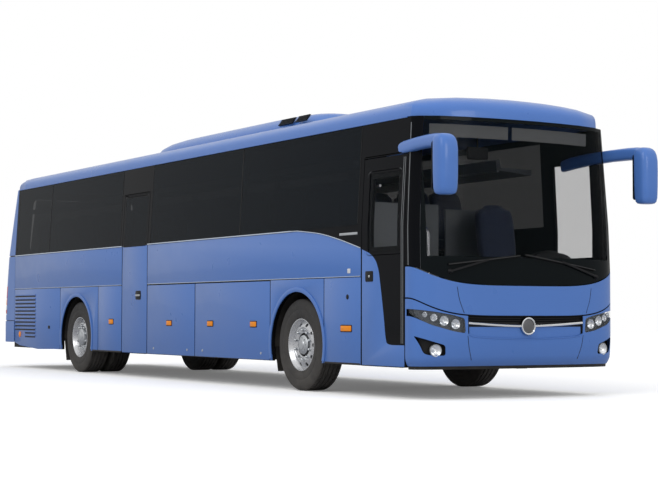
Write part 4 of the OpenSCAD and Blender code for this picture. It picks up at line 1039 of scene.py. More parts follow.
# grille: chrome strip, dark slats behind it and a plain ring
grille = nose_skin("grille_mesh", 0.705, 0.842, 10, "black_plastic", out=-0.022, depth=0.006,
                   span=(-24.8, 24.8), bevel=0)
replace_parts(grille, "grille")
for k in range(3):
    z = 0.782 + 0.022 * k
    nose_line(f"grille_slat_{k + 1}", [(-0.715, z + 0.006), (-0.36, z + 0.002), (0, z), (0.36, z + 0.002),
                                       (0.715, z + 0.006)], 0.010, "black_gloss", 0.008, out=-0.018)
nose_line("grille_chrome", [(-0.728, 0.768), (-0.375, 0.746), (-0.10, 0.736), (0.10, 0.736), (0.375, 0.746),
                            (0.728, 0.768)], 0.024, "chrome", 0.012, out=-0.006)
nose_skin("grille_recess", 0.596, 0.728, 8, "blue", out=-0.014, span=(-24.6, 24.6), bevel=0)
nose_line("recess_edge", [(-0.726, 0.652), (-0.64, 0.627), (-0.36, 0.611), (0, 0.601), (0.36, 0.611),
                          (0.64, 0.627), (0.726, 0.652)], 0.010, "blue", 0.010, out=-0.002)
ring_centre = (X_NOSE + 0.004, 0, 0.735)
ring = lathe([(0.070, 0), (0.074, 0.010), (0.082, 0.014), (0.089, 0.010), (0.091, 0), (0.070, 0)],
             ring_centre, "X", 56)
build("plain_ring", ring, "chrome")
disc = lathe([(0, 0.007), (0.050, 0.0065), (0.068, 0.003), (0.071, -0.004), (0, -0.004)],
             ring_centre, "X", 56)
build("plain_ring_disc", disc, "badge")

# ---- windscreen, pillars and brow ----

screen = nose_skin("windscreen", lambda t: screen_low(t) + 0.004, CANT_Z - 0.006, 24, "clear_glass", out=-0.002,
                   depth=0.006, span=(-SCREEN_EDGE_DEG, SCREEN_EDGE_DEG), bevel=0.0015)
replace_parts(screen, "windshield")
for k, tag in SIDES:
    span = (k * (SCREEN_EDGE_DEG + 0.4), k * WRAP_DEG)
    pillar = nose_skin(f"corner_pillar_{tag}", lambda t: screen_low(t) + 0.004, CANT_Z - 0.006, 12, "black_gloss",
                       out=0.002, span=span)
    if k < 0:
        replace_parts(pillar, "corner_pillars")

# ---- roof ----

ROOF_SLOPES = [0, 6, 12, 18, 25, 32, 40, 48, 56, 64, 71, 78]


def roof_shell():
    """Blue roof skin: rings that climb from the cant rail, closed by a cap."""
    rings = [roof_ring(s, PROUD) for s in ROOF_SLOPES]
    low = [Vector((p.x, p.y, p.z - 0.004)) for p in rings[0]]
    bm = loft([low] + rings, caps=False)
    top = [e for e in bm.edges if e.is_boundary and min(v.co.z for v in e.verts) > CANT_Z + 0.1]
    bmesh.ops.edgeloop_fill(bm, edges=top)
    caps = [f for f in bm.faces if len(f.verts) > 4]
    bmesh.ops.inset_region(bm, faces=caps, thickness=0.25, use_even_offset=True)
    recalc(bm)
    face_towards(bm, (0, 0, 1))
    return build("roof_skin", bm, "blue", thick=SKIN, sharp=40)


roof = roof_shell()
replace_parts(roof, "roof_panel")

# ---- tail ----

def tail_skin(name, low, high, rows, finish, cutters=(), out=PROUD, depth=SKIN, body="body", span=None, bevel=0.0022):
    """Skin on the tail between two heights, all the way across or on a span of angles."""
    def place(u, v):
        return skin_point(tail_point, angle_at(TAIL_WAY, u, span), lerp(low, high, v), out, -5)
    bm = sheet(96 if span is None else 48, rows, place)
    face_towards(bm, (-1, 0, 0))
    return build(name, bm, finish, body, thick=depth, cutters=cutters, bevel=bevel, sharp=32, weighted=True)


def tail_cutter(outline, radius, front_x):
    """Cutter through the tail over an outline of (y, z)."""
    return cutter(prism(round_corners(outline, radius), "X", -7, front_x))


hatch_low, hatch_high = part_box("engine_hatch")
HATCH_HALF = (hatch_high.y - hatch_low.y) / 2 + 0.006
hatch_cut = tail_cutter(rectangle(-HATCH_HALF, HATCH_HALF, 0.794, 1.626), 0.03, -5.6)
LAMP_TAIL = [(1.060, 0.842), (1.345, 0.842), (1.345, 1.308), (1.090, 1.308)]
lamp_cuts = [tail_cutter(o, 0.03, X_TAIL + TAIL_DEPTH + 0.002) for o in both_sides(LAMP_TAIL)]
win_cut = tail_cutter(rectangle(-0.885, 0.885, 1.875, 2.725), 0.09, -5.4)

tail_body = tail_skin("tail_skin", 0.745, BELT_LINE, 20, "blue", [hatch_cut] + lamp_cuts)
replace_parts(tail_body, "rear_wall")
tail_skin("tail_bumper", TAIL_LOW_Z - 0.002, 0.735, 8, "blue", out=PROUD + 0.006)
tail_skin("tail_upper", BELT_LINE + 0.018, CANT_Z - 0.004, 18, "blue", [win_cut])
tail_skin("tail_backing", TAIL_LOW_Z + 0.01, CANT_Z - 0.01, 24, "black_plastic", [hatch_cut, win_cut], out=-0.010,
          depth=0.012, bevel=0)
window_skin = tail_skin("rear_window_glass", 1.879, 2.721, 14, "dark_glass", out=0.000, span=(-34.2, 34.2))
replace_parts(window_skin, "rear_window")

drop(head_cutters + fog_cutters + [grille_cutter, hatch_cut, win_cut] + lamp_cuts)

# ---- side glass ----

def side_pane(name, x0, x1, z0, z1, side, finish="dark_glass", body="body", radius=0.03, out=0.001):
    """Sheet glass with rounded corners in one side of the body."""
    bm = bmesh.new()
    outline_face(bm, [(p.x, 0, p.y) for p in round_corners(rectangle(x0, x1, z0, z1), radius, 4)])
    slice_at(bm, "Z", [lerp(z0, z1, k / 4) for k in range(1, 4)])
    lay_on_side(bm, side, out)
    return build(name, bm, finish, body, thick=0.006, bevel=0.0015, rounds=1)


GLASS_Z = (1.792, 2.831)
PANES = {
    "right": [(-5.77, -4.31), (-4.31, -1.561), (-0.566, 2.035), (2.035, 4.74)],
    "left": [(-5.77, -4.31), (-4.31, -1.561), (-1.561, 0.564), (0.564, 2.035), (2.035, 4.74)],
}
for k, tag in SIDES:
    for j, (a, b) in enumerate(PANES[tag]):
        pane = side_pane(f"glass_{tag}_{j + 1}", a + 0.004, b - 0.004, *GLASS_Z, k)
        if j == 0:
            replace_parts(pane, f"{tag}_side_glass")
        for end, x in (("a", a + 0.004), ("b", b - 0.004)):
            line = side_line([(x, z) for z in (1.80, 2.3, 2.825)], k, 0.001)
            strip(f"glass_joint_{tag}_{j + 1}_{end}", line, (0, k, 0), 0.012, 0.0015, "rubber")
side_pane("driver_window", 4.835, 5.570, 1.425, 2.555, 1, "cab_glass", radius=0.05)
front_pane = side_pane("front_door_window", 4.932, 5.533, 1.492, 2.308, -1, "cab_glass", "front_door", radius=0.05,
                       out=0.0)
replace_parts(front_pane, "front_door_glass")
mid_pane = side_pane("mid_door_window", -1.429, -0.698, 1.792, 2.435, -1, "dark_glass", "mid_door", radius=0.03,
                     out=0.0)
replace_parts(mid_pane, "mid_door_glass")

# ---- tyres and wheel trim ----

def tyre(name, y_out, side, body, axle_x):
    """Ribbed tyre on a rounded carcass; y_out is the outer face."""
    w = TYRE_W / 2
    bead, r = 0.290, TYRE_R
    half = [(bead, w * 0.80), (bead + 0.012, w * 0.92), (0.335, w * 0.985), (0.385, w * 1.0), (0.392, w * 0.985),
            (0.398, w * 1.0), (0.440, w * 0.99), (0.475, w * 0.955), (r - 0.016, w * 0.900), (r - 0.005, w * 0.845),
            (r - 0.001, w * 0.80)]
    for g in (0.53, 0.18):
        half += [(r, w * g + 0.006), (r - 0.013, w * g + 0.004), (r - 0.013, w * g - 0.004), (r, w * g - 0.006)]
    profile = [(rr, -yy) for rr, yy in half] + [(rr, yy) for rr, yy in reversed(half)]
    profile += [(bead - 0.006, w * 0.6), (bead - 0.006, -w * 0.6), profile[0]]
    centre_y = side * (y_out - w)
    bm = lathe(profile, (axle_x, centre_y, AXLE_Z), "Y", 96)
    # sipes cut across the shoulder ribs
    hub_centre = Vector((axle_x, centre_y, AXLE_Z))

    def from_hub(f):
        return f.calc_center_median() - hub_centre

    ribs = [f for f in bm.faces if abs(math.hypot(from_hub(f).x, from_hub(f).z) - r) < 0.0035
            and abs(abs(from_hub(f).y) - w * 0.69) < 0.02]
    ribs.sort(key=lambda f: (from_hub(f).y > 0, math.atan2(from_hub(f).z, from_hub(f).x)))
    sipes = ribs[::2]
    bmesh.ops.inset_individual(bm, faces=sipes, thickness=0.004)
    for f in sipes:
        inward = Vector((-from_hub(f).x, 0, -from_hub(f).z)).normalized()
        for v in f.verts:
            v.co += inward * 0.007
    recalc(bm)
    return build(name, bm, "tyre", body, sharp=32)


HAND_HOLES, HOLE_CIRCLE_R, HOLE_R = 10, 0.2275, 0.022
WHEEL_NUTS, NUT_CIRCLE_R = 10, 0.163
HUB_BOLTS = 8


def rim(name, face_y, side, body, axle_x, dish, hub_r, hub_out):
    """Steel wheel: flange, barrel and dished disc with ten hand holes, its nut ring and the hub."""
    section = [(0.280, -0.004), (0.284, 0.0), (0.292, 0.0), (0.296, -0.006), (0.294, -0.014), (0.286, -0.016),
               (0.278, -0.030), (0.276, -0.236), (0.292, -0.258), (0.290, -0.266), (0.270, -0.246), (0.266, -0.235),
               (0.262, -dish * 0.9 - 0.014), (0.240, -dish * 0.72 - 0.016), (0.186, -dish * 0.55 - 0.014),
               (0.132, -dish * 0.62 - 0.012), (0.132, -dish * 0.62), (0.140, -dish * 0.58), (0.186, -dish * 0.55),
               (0.196, -dish * 0.40), (0.212, -dish * 0.42), (0.240, -dish * 0.72), (0.252, -dish * 0.8),
               (0.262, -dish * 0.55), (0.270, -0.026), (0.280, -0.004)]
    bm = lathe([(r, side * d) for r, d in section], (axle_x, side * face_y, AXLE_Z), "Y", 60)
    holes = bmesh.new()
    for k in range(HAND_HOLES):
        a = 2 * math.pi * k / HAND_HOLES
        ring = rounded_ring(axle_x + HOLE_CIRCLE_R * math.cos(a), AXLE_Z + HOLE_CIRCLE_R * math.sin(a), HOLE_R, HOLE_R,
                            2.0, 16)
        hole = prism(ring, "Y", side * face_y - 0.12, side * face_y + 0.12)
        join_in(holes, hole)
    holes_obj = cutter(holes)
    obj = build(name, bm, "steel", body, cutters=[holes_obj], sharp=32)
    drop([holes_obj])
    nuts = bmesh.new()
    base = side * (face_y - dish * 0.57)
    for k in range(WHEEL_NUTS):
        a = 2 * math.pi * (k + 0.5) / WHEEL_NUTS
        nut = lathe([(0, 0.034), (0.008, 0.034), (0.0145, 0.026), (0.0155, 0.006), (0.022, 0.004), (0.0235, -0.004),
                     (0, -0.004)], (0, 0, 0), "Y", 8)
        if side < 0:
            bmesh.ops.rotate(nut, cent=(0, 0, 0), matrix=Matrix.Rotation(math.pi, 3, "X"), verts=nut.verts[:])
        bmesh.ops.translate(nut, verts=nut.verts[:],
                            vec=(axle_x + NUT_CIRCLE_R * math.cos(a), base, AXLE_Z + NUT_CIRCLE_R * math.sin(a)))
        join_in(nuts, nut)
    build(f"{name}_nuts", nuts, "alloy", body, sharp=30)
    cap = [(0.0, hub_out), (hub_r * 0.45, hub_out - 0.002), (hub_r * 0.52, hub_out - 0.010),
           (hub_r * 0.60, hub_out - 0.012), (hub_r * 0.86, hub_out - 0.018), (hub_r, hub_out - 0.032),
           (hub_r + 0.004, -0.075), (0.131, -0.080), (0.134, -0.100), (0.0, -0.100)]
    hub = lathe([(r, side * d) for r, d in cap], (axle_x, side * face_y, AXLE_Z), "Y", 48)
    bolts = bmesh.new()
    half = Vector((0.006, 0.004, 0.006))
    for k in range(HUB_BOLTS):
        a = 2 * math.pi * k / HUB_BOLTS
        centre = Vector((axle_x + hub_r * 0.74 * math.cos(a), side * (face_y + hub_out - 0.010),
                         AXLE_Z + hub_r * 0.74 * math.sin(a)))
        block(bolts, centre - half, centre + half, 0.002, 1)
    join_in(hub, bolts)
    build(f"{name}_hub", hub, "alloy", body, sharp=32)
    liner = lathe([(r, side * d) for r, d in ((0.118, -0.150), (0.264, -0.165), (0.264, -0.172), (0.118, -0.160),
                                              (0.118, -0.150))], (axle_x, side * face_y, AXLE_Z), "Y", 40)
    build(f"{name}_drum", liner, "cast", body, sharp=32)
    return obj


TWIN_GAP = 0.050
outer = HALF_W - 0.040
face = outer - 0.016
for k, tag in SIDES:
    front = tyre(f"front_tyre_piece_{tag}", outer, k, f"front_wheel_{tag}", FRONT_AXLE_X)
    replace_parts(front, f"front_tyre_{tag}")
    rear = tyre(f"rear_tyre_outer_{tag}", outer, k, f"rear_wheels_{tag}", REAR_AXLE_X)
    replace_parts(rear, f"rear_tyres_{tag}")
    tyre(f"rear_tyre_inner_{tag}", outer - TYRE_W - TWIN_GAP, k, f"rear_wheels_{tag}", REAR_AXLE_X)
    front_rim = rim(f"front_rim_piece_{tag}", face, k, f"front_wheel_{tag}", FRONT_AXLE_X, 0.060, 0.108, 0.004)
    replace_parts(front_rim, f"front_rim_{tag}")
    rear_rim = rim(f"rear_rim_outer_{tag}", face, k, f"rear_wheels_{tag}", REAR_AXLE_X, 0.085, 0.122, 0.010)
    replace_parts(rear_rim, f"rear_rims_{tag}")
    inner = lathe([(r, k * d) for r, d in ((0.262, 0.0), (0.290, 0.004), (0.294, -0.010), (0.270, -0.030),
                                           (0.264, -0.250), (0.290, -0.262), (0.262, -0.264), (0.110, -0.120),
                                           (0.110, -0.090), (0.255, -0.060), (0.262, 0.0))],
                  (REAR_AXLE_X, k * (face - TYRE_W - TWIN_GAP), AXLE_Z), "Y", 48)
    build(f"rear_rim_inner_{tag}", inner, "steel", f"rear_wheels_{tag}", sharp=32)

# ---- finishes of the CAD nodes that keep their shape ----

KEPT = {
    "cabin_floor": "floor", "luggage_bay": "hold", "wheel_housings": "liner", "right_side_wall": "black_gloss",
    "left_side_wall": "black_gloss", "dashboard": "grey_plastic", "driver_seat": "cloth",
    "passenger_seats": "cloth", "luggage_racks": "panel_grey", "partitions": "panel_grey",
    "engine_block": "cast", "fuel_tank": "frame_paint", "mudflaps": "rubber", "air_springs": "rubber",
    "front_axle": "cast", "rear_axle": "cast", "steering_wheel": "black_plastic", "knuckle_left": "cast",
    "knuckle_right": "cast", "front_rim_left": "steel", "front_rim_right": "steel", "rear_rims_left": "steel",
    "rear_rims_right": "steel", "front_door_leaf": "black_gloss", "front_door_arm": "frame_paint",
    "mid_door_leaf": "black_gloss", "mid_door_arm": "frame_paint", "luggage_flap_right_front": "black_plastic",
    "luggage_flap_right_rear": "black_plastic", "luggage_flap_left_front": "black_plastic",
    "luggage_flap_left_rear": "black_plastic", "engine_hatch": "black_plastic", "air_conditioner": "blue",
    "mirrors": "blue", "wipers": "black_plastic", "tail_lights": "red", "side_markers": "amber",
}
for label, obj in nodes.items():
    carry(label, KEPT.get(label, "frame_paint"))

# ---- trim on the sides ----

def tube(name, path, radius, finish):
    """Round rail along a path."""
    path = [Vector(p) for p in path]
    rings = []
    across = None
    for k, p in enumerate(path):
        along = (path[min(k + 1, len(path) - 1)] - path[max(k - 1, 0)]).normalized()
        if across is None:
            across = along.orthogonal().normalized()
        across = (across - along * across.dot(along)).normalized()
        other = along.cross(across)
        turns = [2 * math.pi * j / 10 for j in range(10)]
        rings.append([p + (across * math.cos(a) + other * math.sin(a)) * radius for a in turns])
    return build(name, loft(rings), finish, sharp=50)


def side_plate(name, x0, x1, z0, z1, side, finish, body="body", radius=0.012, height=0.006, bevel=0.0025, base=PROUD):
    """Small rounded plate standing on a side wall."""
    bm = bmesh.new()
    outline_face(bm, [(p.x, 0, p.y) for p in round_corners(rectangle(x0, x1, z0, z1), radius, 4)])
    lay_on_side(bm, side, base + height)
    return build(name, bm, finish, body, thick=height + 0.002, bevel=bevel)


def side_disc(name, x, z, radius, side, finish, body="body", height=0.010):
    """Domed round lens or lock in a side wall."""
    profile = [(0, height), (radius * 0.55, height * 0.92), (radius * 0.86, height * 0.6), (radius, 0.001),
               (radius * 1.12, 0.0035), (radius * 1.22, 0.001), (radius * 1.2, -0.004), (0, -0.004)]
    bm = lathe([(r, d * side) for r, d in profile], (x, side * (side_out(z) + PROUD), z), "Y", 28)
    return build(name, bm, finish, body, sharp=40)


def marker(name, x, z, length, height, side, body="body"):
    """Amber marker lamp in a black holder."""
    side_plate(name + "_holder", x - length / 2 - 0.012, x + length / 2 + 0.012, z - height / 2 - 0.010,
               z + height / 2 + 0.010, side, "black_plastic", body, radius=0.014, height=0.003)
    return side_plate(name, x - length / 2, x + length / 2, z - height / 2, z + height / 2, side, "amber", body,
                      radius=0.012, height=0.009, bevel=0.004)


LOUVRES = [(-5.795, 1.139 - 0.0581 * j) for j in range(10)] + [(-5.330, 0.563), (-5.330, 0.505)]
LOUVRE_FRONT_X = -4.875

for k, tag in SIDES:
    # engine louvres behind the rear wheel: a blue hood over a black strip that is painted shade for the gap under each
    # blade
    for j, (louvre_x, z) in enumerate(LOUVRES):
        gap_shade_line = side_line([(x, z - 0.012) for x in (louvre_x, LOUVRE_FRONT_X)], k, PROUD - 0.001)
        strip(f"louvre_gap_shade_{tag}_{j + 1}", gap_shade_line, (0, k, 0), 0.024, 0.0022, "black_plastic", sink=0.001)
        hood_line = side_line([(x, z + 0.008) for x in (louvre_x - EDGE, LOUVRE_FRONT_X + EDGE)], k, PROUD - 0.001)
        strip(f"louvre_hood_{tag}_{j + 1}", hood_line, (0, k, 0), 0.018, 0.0100, "blue", sink=0.001)
    side_disc(f"tail_reflector_{tag}", -5.575, 0.528, 0.040, k, "amber")
    side_plate(f"service_lock_{tag}", -4.315, -4.235, 0.625, 0.672, k, "black_plastic", radius=0.01, height=0.005)
    piece = marker(f"rear_marker_{tag}", -1.855, 0.745, 0.150, 0.062, k)
    if tag == "right":
        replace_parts(piece, "side_markers")
    marker(f"front_marker_{tag}", 4.510, 0.702, 0.215, 0.058, k)
    for j, (x, flap) in enumerate(((0.065, "rear"), (1.265, "front"), (2.405, "front"))):
        marker(f"flap_marker_{tag}_{j + 1}", x, 0.735, 0.150, 0.058, k, f"luggage_flap_{tag}_{flap}")
    for flap, a, b in (("rear", BAY_X0, FLAP_SPLIT_X), ("front", FLAP_SPLIT_X, BAY_X1)):
        for j, x in enumerate((a + 0.22, b - 0.22)):
            side_disc(f"flap_lock_{tag}_{flap}_{j + 1}", x, 0.400, 0.013, k, "alloy", f"luggage_flap_{tag}_{flap}",
                      0.004)
    side_plate(f"blank_badge_{tag}", 4.365, 4.735, 1.690, 1.716, k, "alloy", radius=0.006, height=0.002, bevel=0.001)
    # painted highlight along the flap line: a pale strip standing for the light caught on the panel edge
    for j, (a, b) in enumerate(((SIDE_BACK_X + 0.01, MID_DOOR[0] - 0.016), (MID_DOOR[1] + 0.016, 4.790))):
        line = side_line([(x, FLAP_LINE + 0.011) for x in (a, b)], k, 0.003)
        strip(f"flap_highlight_{tag}_{j + 1}", line, (0, k, 0), 0.007, 0.0035, "trim")
    # trim down the front edge of the corner pane
    line = [nose_point(k * 87, z) + nose_normal(k * 87, z) * 0.004 for z in (1.345, 1.7, 2.1, 2.5, 2.78)]
    strip(f"corner_trim_{tag}", line, [nose_normal(k * 87, 1.7)] * 5, 0.008, 0.004, "frame_trim")
    # rain gutter above the side glass
    gutter_y = k * (side_out(CANT_Z) + 0.004)
    gutter = [Vector((x, gutter_y, CANT_Z - 0.006)) for x in (SIDE_BACK_X + 0.01, 5.60)]
    strip(f"rain_gutter_{tag}", gutter, (0, k, 0), 0.013, 0.008, "blue", sink=0.004)

side_disc("step_button", 4.535, 1.036, 0.022, -1, "black_plastic", height=0.006)
side_plate("blank_plate", 4.535, 4.595, 1.285, 1.335, -1, "pale", radius=0.008, height=0.004)
side_plate("filler_flap", 4.420, 4.620, 0.860, 1.000, 1, "blue", radius=0.03, height=0.003, bevel=0.0012)
side_disc("filler_lock", 4.600, 0.930, 0.012, 1, "black_plastic", height=0.007)

# seals and window frames of the two plug doors
def door_frame(name, x0, x1, z0, z1, width, finish, body, height=0.004, radius=0.03):
    """Frame moulding that runs round a rectangle on the right side."""
    bm = bmesh.new()
    outline_face(bm, [(p.x, 0, p.y) for p in round_corners(rectangle(x0, x1, z0, z1), radius, 4)])
    ring = bmesh.ops.inset_region(bm, faces=bm.faces[:], thickness=width, use_boundary=True, use_even_offset=True)
    bmesh.ops.delete(bm, geom=[f for f in bm.faces if f not in ring["faces"]], context="FACES")
    lay_on_side(bm, -1, height)
    return build(name, bm, finish, body, thick=height + 0.002, bevel=0.0012)


door_frame("front_door_window_frame", 4.905, 5.560, 1.465, 2.335, 0.022, "frame_trim", "front_door", radius=0.06)
door_frame("mid_door_window_frame", -1.455, -0.672, 1.772, 2.455, 0.020, "frame_trim", "mid_door", radius=0.04)
door_frame("front_door_surround", 4.804, 5.645, 0.325, 2.494, 0.010, "rubber", "body", height=0.005, radius=0.03)
door_frame("mid_door_surround", -1.502, -0.625, 0.325, 2.494, 0.013, "rubber", "body", height=0.005, radius=0.03)
for j, x in enumerate((5.575, 5.605)):
    line = side_line([(x, z) for z in (0.56, 1.2, 1.78, 2.12, 2.44)], -1, 0.0005)
    strip(f"front_door_edge_line_{j + 1}", line, (0, -1, 0), 0.007, 0.004, "frame_trim", "front_door")
side_plate("front_door_lock_box", 4.895, 5.045, 1.190, 1.300, -1, "black_plastic", "front_door", radius=0.02,
           height=0.005, base=0.002)
side_disc("front_door_lock", 4.970, 1.245, 0.016, -1, "alloy", "front_door", 0.010)
side_plate("mid_door_handle_bowl", -1.020, -0.840, 1.045, 1.165, -1, "black_plastic", "mid_door", radius=0.03,
           height=0.003, base=0.002)
side_plate("mid_door_handle", -1.000, -0.860, 1.090, 1.116, -1, "alloy", "mid_door", radius=0.012, height=0.016,
           bevel=0.006, base=0.002)

# ---- mirrors ----

HEAD_Y = 1.270


def mirror_arm_and_head(k, tag):
    """Swept arm with a cap over its elbow, and a long head with the glass on its rear face."""
    sections = [
        # x, y, z, half width across, half height
        (5.150, 1.140, 2.490, 0.045, 0.062), (5.300, 1.160, 2.515, 0.048, 0.068), (5.550, 1.200, 2.540, 0.050, 0.066),
        (5.850, 1.240, 2.552, 0.054, 0.064), (6.100, 1.262, 2.552, 0.068, 0.066), (6.250, 1.268, 2.542, 0.086, 0.070),
        (6.335, 1.270, 2.520, 0.098, 0.072)]
    rings = []
    for x, y, z, across, deep in sections:
        ring = rounded_ring(0, 0, across, deep, 3.2, 20)
        rings.append([Vector((x, k * (y + a), z + b)) for a, b in ring])
    build(f"mirror_arm_{tag}", loft(rings), "blue", sharp=45)
    head = [
        (2.010, 0.046, 0.062), (2.016, 0.068, 0.084), (2.034, 0.084, 0.098), (2.075, 0.094, 0.105),
        (2.200, 0.099, 0.109), (2.350, 0.101, 0.110), (2.460, 0.101, 0.109), (2.520, 0.098, 0.105),
        (2.560, 0.090, 0.096), (2.586, 0.074, 0.080), (2.600, 0.050, 0.056), (2.604, 0.026, 0.030)]
    rings = []
    for z, deep, across in head:
        shift = 0.030 * clamp((z - 2.42) / 0.18) ** 2
        ring = rounded_ring(0, 0, deep, across, 3.6, 24)
        rings.append([Vector((6.345 - shift + a, k * (HEAD_Y + b), z)) for a, b in ring])
    shell = build(f"mirror_head_{tag}", loft(rings), "blue", sharp=50)
    backs = (("glass_main", 0.084, 2.215, 2.520, 6.238, 0.022, "mirror", 0.006, 0.001),
             ("glass_wide", 0.084, 2.070, 2.195, 6.238, 0.022, "mirror", 0.006, 0.001),
             ("bezel", 0.096, 2.055, 2.535, 6.243, 0.030, "black_plastic", 0.012, 0.003))
    for label, half, z0, z1, x, radius, finish, thick, bevel in backs:
        bm = bmesh.new()
        outline = round_corners(rectangle(-half, half, z0, z1), radius, 4)
        outline_face(bm, [(x, k * HEAD_Y + p.x, p.y) for p in outline])
        face_towards(bm, (-1, 0, 0))
        build(f"mirror_{label}_{tag}", bm, finish, thick=thick, bevel=bevel)
    return shell


mirror_shells = [mirror_arm_and_head(k, tag) for k, tag in SIDES]
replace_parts(mirror_shells[0], "mirrors")

# ---- wipers, laid on the glass ----

def wiper(tag, pivot, elbow, tip_a, tip_b):
    """Arm from its pivot to the middle of a blade that runs from tip_a to tip_b."""
    arm = nose_line(f"wiper_arm_{tag}", [pivot, ((pivot[0] + elbow[0]) / 2, (pivot[1] + elbow[1]) / 2), elbow], 0.022,
                    "black_plastic", 0.014, out=0.016)
    mid = ((tip_a[0] + tip_b[0]) / 2, (tip_a[1] + tip_b[1]) / 2)
    nose_line(f"wiper_blade_{tag}", [tip_a, mid, tip_b], 0.020, "rubber", 0.016, out=0.004)
    nose_line(f"wiper_spine_{tag}", [tip_a, mid, tip_b], 0.008, "frame_paint", 0.010, out=0.018)
    p = nose_point(nose_angle(*pivot), pivot[1])
    boss = lathe([(0, 0.034), (0.012, 0.033), (0.019, 0.024), (0.022, 0.006), (0.026, 0.0), (0, 0)],
                 (p.x, p.y, p.z), "X", 20)
    build(f"wiper_pivot_{tag}", boss, "black_plastic")
    return arm


wiper_arm = wiper("right", (-0.930, 1.285), (-0.500, 1.405), (-0.950, 1.352), (-0.110, 1.452))
wiper("left", (0.930, 1.250), (0.430, 1.400), (-0.040, 1.462), (0.900, 1.322))
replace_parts(wiper_arm, "wipers")

# ---- roof air conditioner and hatches ----

ac_low, ac_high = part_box("air_conditioner")


def ac_pod():
    """Low pod that slopes more at its rear end than at its front."""
    length = ac_high.x - ac_low.x
    mid_x = (ac_low.x + ac_high.x) / 2
    rings = []
    # forward shift, share of the length, share of the width, height
    for shift, along, across, z in (
            (0.00, 1.000, 1.000, 3.050), (0.00, 0.996, 0.992, 3.085), (0.00, 0.972, 0.965, 3.130),
            (0.06, 0.930, 0.900, 3.180), (0.12, 0.870, 0.800, 3.215), (0.18, 0.780, 0.660, 3.240),
            (0.20, 0.640, 0.480, 3.256), (0.20, 0.450, 0.280, 3.263)):
        ring = rounded_ring(0, 0, length / 2 * along, 0.874 * across, 6.0, 72)
        rings.append([Vector((mid_x + shift + a, b, z)) for a, b in ring])
    return build("air_conditioner_pod", loft(rings), "blue", sharp=50)


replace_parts(ac_pod(), "air_conditioner")
for k, tag in SIDES:
    for j, (a, b) in enumerate(((ac_high.x - 0.84, ac_high.x - 0.50), (ac_high.x - 0.42, ac_high.x - 0.16))):
        for row in range(5):
            y = 0.843 - 0.012 * row
            z = 3.112 + 0.016 * row
            line = [Vector((x, k * (y + 0.012), z)) for x in (a, b)]
            strip(f"pod_vent_{tag}_{j + 1}_{row + 1}", line, (0, k, 0.35), 0.010, 0.012, "black_plastic", sink=0.01)
for label, x in (("rear", -3.55), ("front", 4.35)):
    hatch = bmesh.new()
    block(hatch, (x - 0.39, -0.39, 3.070), (x + 0.39, 0.39, 3.118), 0.018, 3)
    block(hatch, (x - 0.33, -0.33, 3.112), (x + 0.33, 0.33, 3.132), 0.009, 2)
    build(f"roof_hatch_{label}", hatch, "blue", sharp=40)

# ---- tail lamps, engine hatch and number-plate place ----

TAIL_LAMPS = (("red", 1.098, 1.296, 5, "red"), ("amber", 0.995, 1.090, 3, "amber"),
              ("white", 0.925, 0.987, 2, "white_lens"), ("low", 0.854, 0.917, 2, "red"))
for k, tag in SIDES:
    lenses = [tail_skin(f"tail_lamp_{label}_{tag}", low, high, rows, finish, out=0.004,
                        span=sorted((k * 51.2, k * 89.5))) for label, low, high, rows, finish in TAIL_LAMPS]
    tail_skin(f"tail_lamp_tray_{tag}", 0.850, 1.300, 6, "black_plastic", out=-0.005,
              span=sorted((k * 50.6, k * 90)), bevel=0)
    if tag == "right":
        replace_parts(lenses[0], "tail_lights")
    tail_skin(f"high_stop_lamp_{tag}", 2.742, 2.775, 1, "red", out=0.006, span=sorted((k * 19, k * 24)))
tail_skin("engine_hatch_skin", 0.812, 1.618, 14, "blue", out=0.003, depth=0.005, span=(-34.0, 34.0),
          body="engine_hatch")
# louvres on the engine hatch: blue hoods over black strips that are painted shade for the gaps beneath them
for j in range(9):
    z = 1.180 + 0.044 * j
    for m, (a, b) in enumerate(((-0.78, -0.03), (0.03, 0.78))):
        for label, dz, width, height, finish in (("gap_shade", -0.010, 0.020, 0.0030, "black_plastic"),
                                                 ("hood", 0.008, 0.014, 0.0100, "blue")):
            path = []
            for y in np.linspace(a, b, 8):
                t = math.copysign(math.degrees(math.asin((abs(y) / side_out(z)) ** 1.5)), y)
                path.append(tail_point(t, z + dz) + Vector((-0.002, 0, 0)))
            strip(f"hatch_{label}_{j + 1}_{m + 1}", path, (-1, 0, 0), width, height, finish, "engine_hatch")
plate = bmesh.new()
block(plate, (X_TAIL - 0.010, -0.26, 0.900), (X_TAIL + 0.004, 0.26, 1.010), 0.004)
build("rear_plate_blank", plate, "pale", "engine_hatch")
grip = bmesh.new()
block(grip, (X_TAIL - 0.022, -0.11, 1.060), (X_TAIL + 0.004, 0.11, 1.090), 0.007, 3)
build("hatch_grip", grip, "black_plastic", "engine_hatch")

# ---- seats ----

def pad(bm, centre, half, lean=0.0, power=4.5, cuts=5, seams=()):
    """Crowned closed cushion: a cube rounded to a superellipsoid, with pulled-in seams, leaned back about Y."""
    part = bmesh.new()
    bmesh.ops.create_cube(part, size=2.0)
    bmesh.ops.subdivide_edges(part, edges=part.edges[:], cuts=cuts, use_grid_fill=True)
    turn = Matrix.Rotation(-lean, 3, "Y")
    for v in part.verts:
        c = v.co / sum(abs(q) ** power for q in v.co) ** (1 / power)
        pull = 0.93 if any(abs(abs(v.co.y) - at) < 0.02 for at in seams) else 1.0
        v.co = Vector(centre) + turn @ Vector((c.x * half[0] * pull, c.y * half[1], c.z * half[2] * pull))
    return join_in(bm, part)


LEAN = math.radians(14)
SIDE_SEAMS = (2 / 3,)
SEAT_YS = (0.41, 0.86)
SEAT_PITCH = 0.78
SEAT_ROWS = 12
first_front_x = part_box("passenger_seats")[1].x


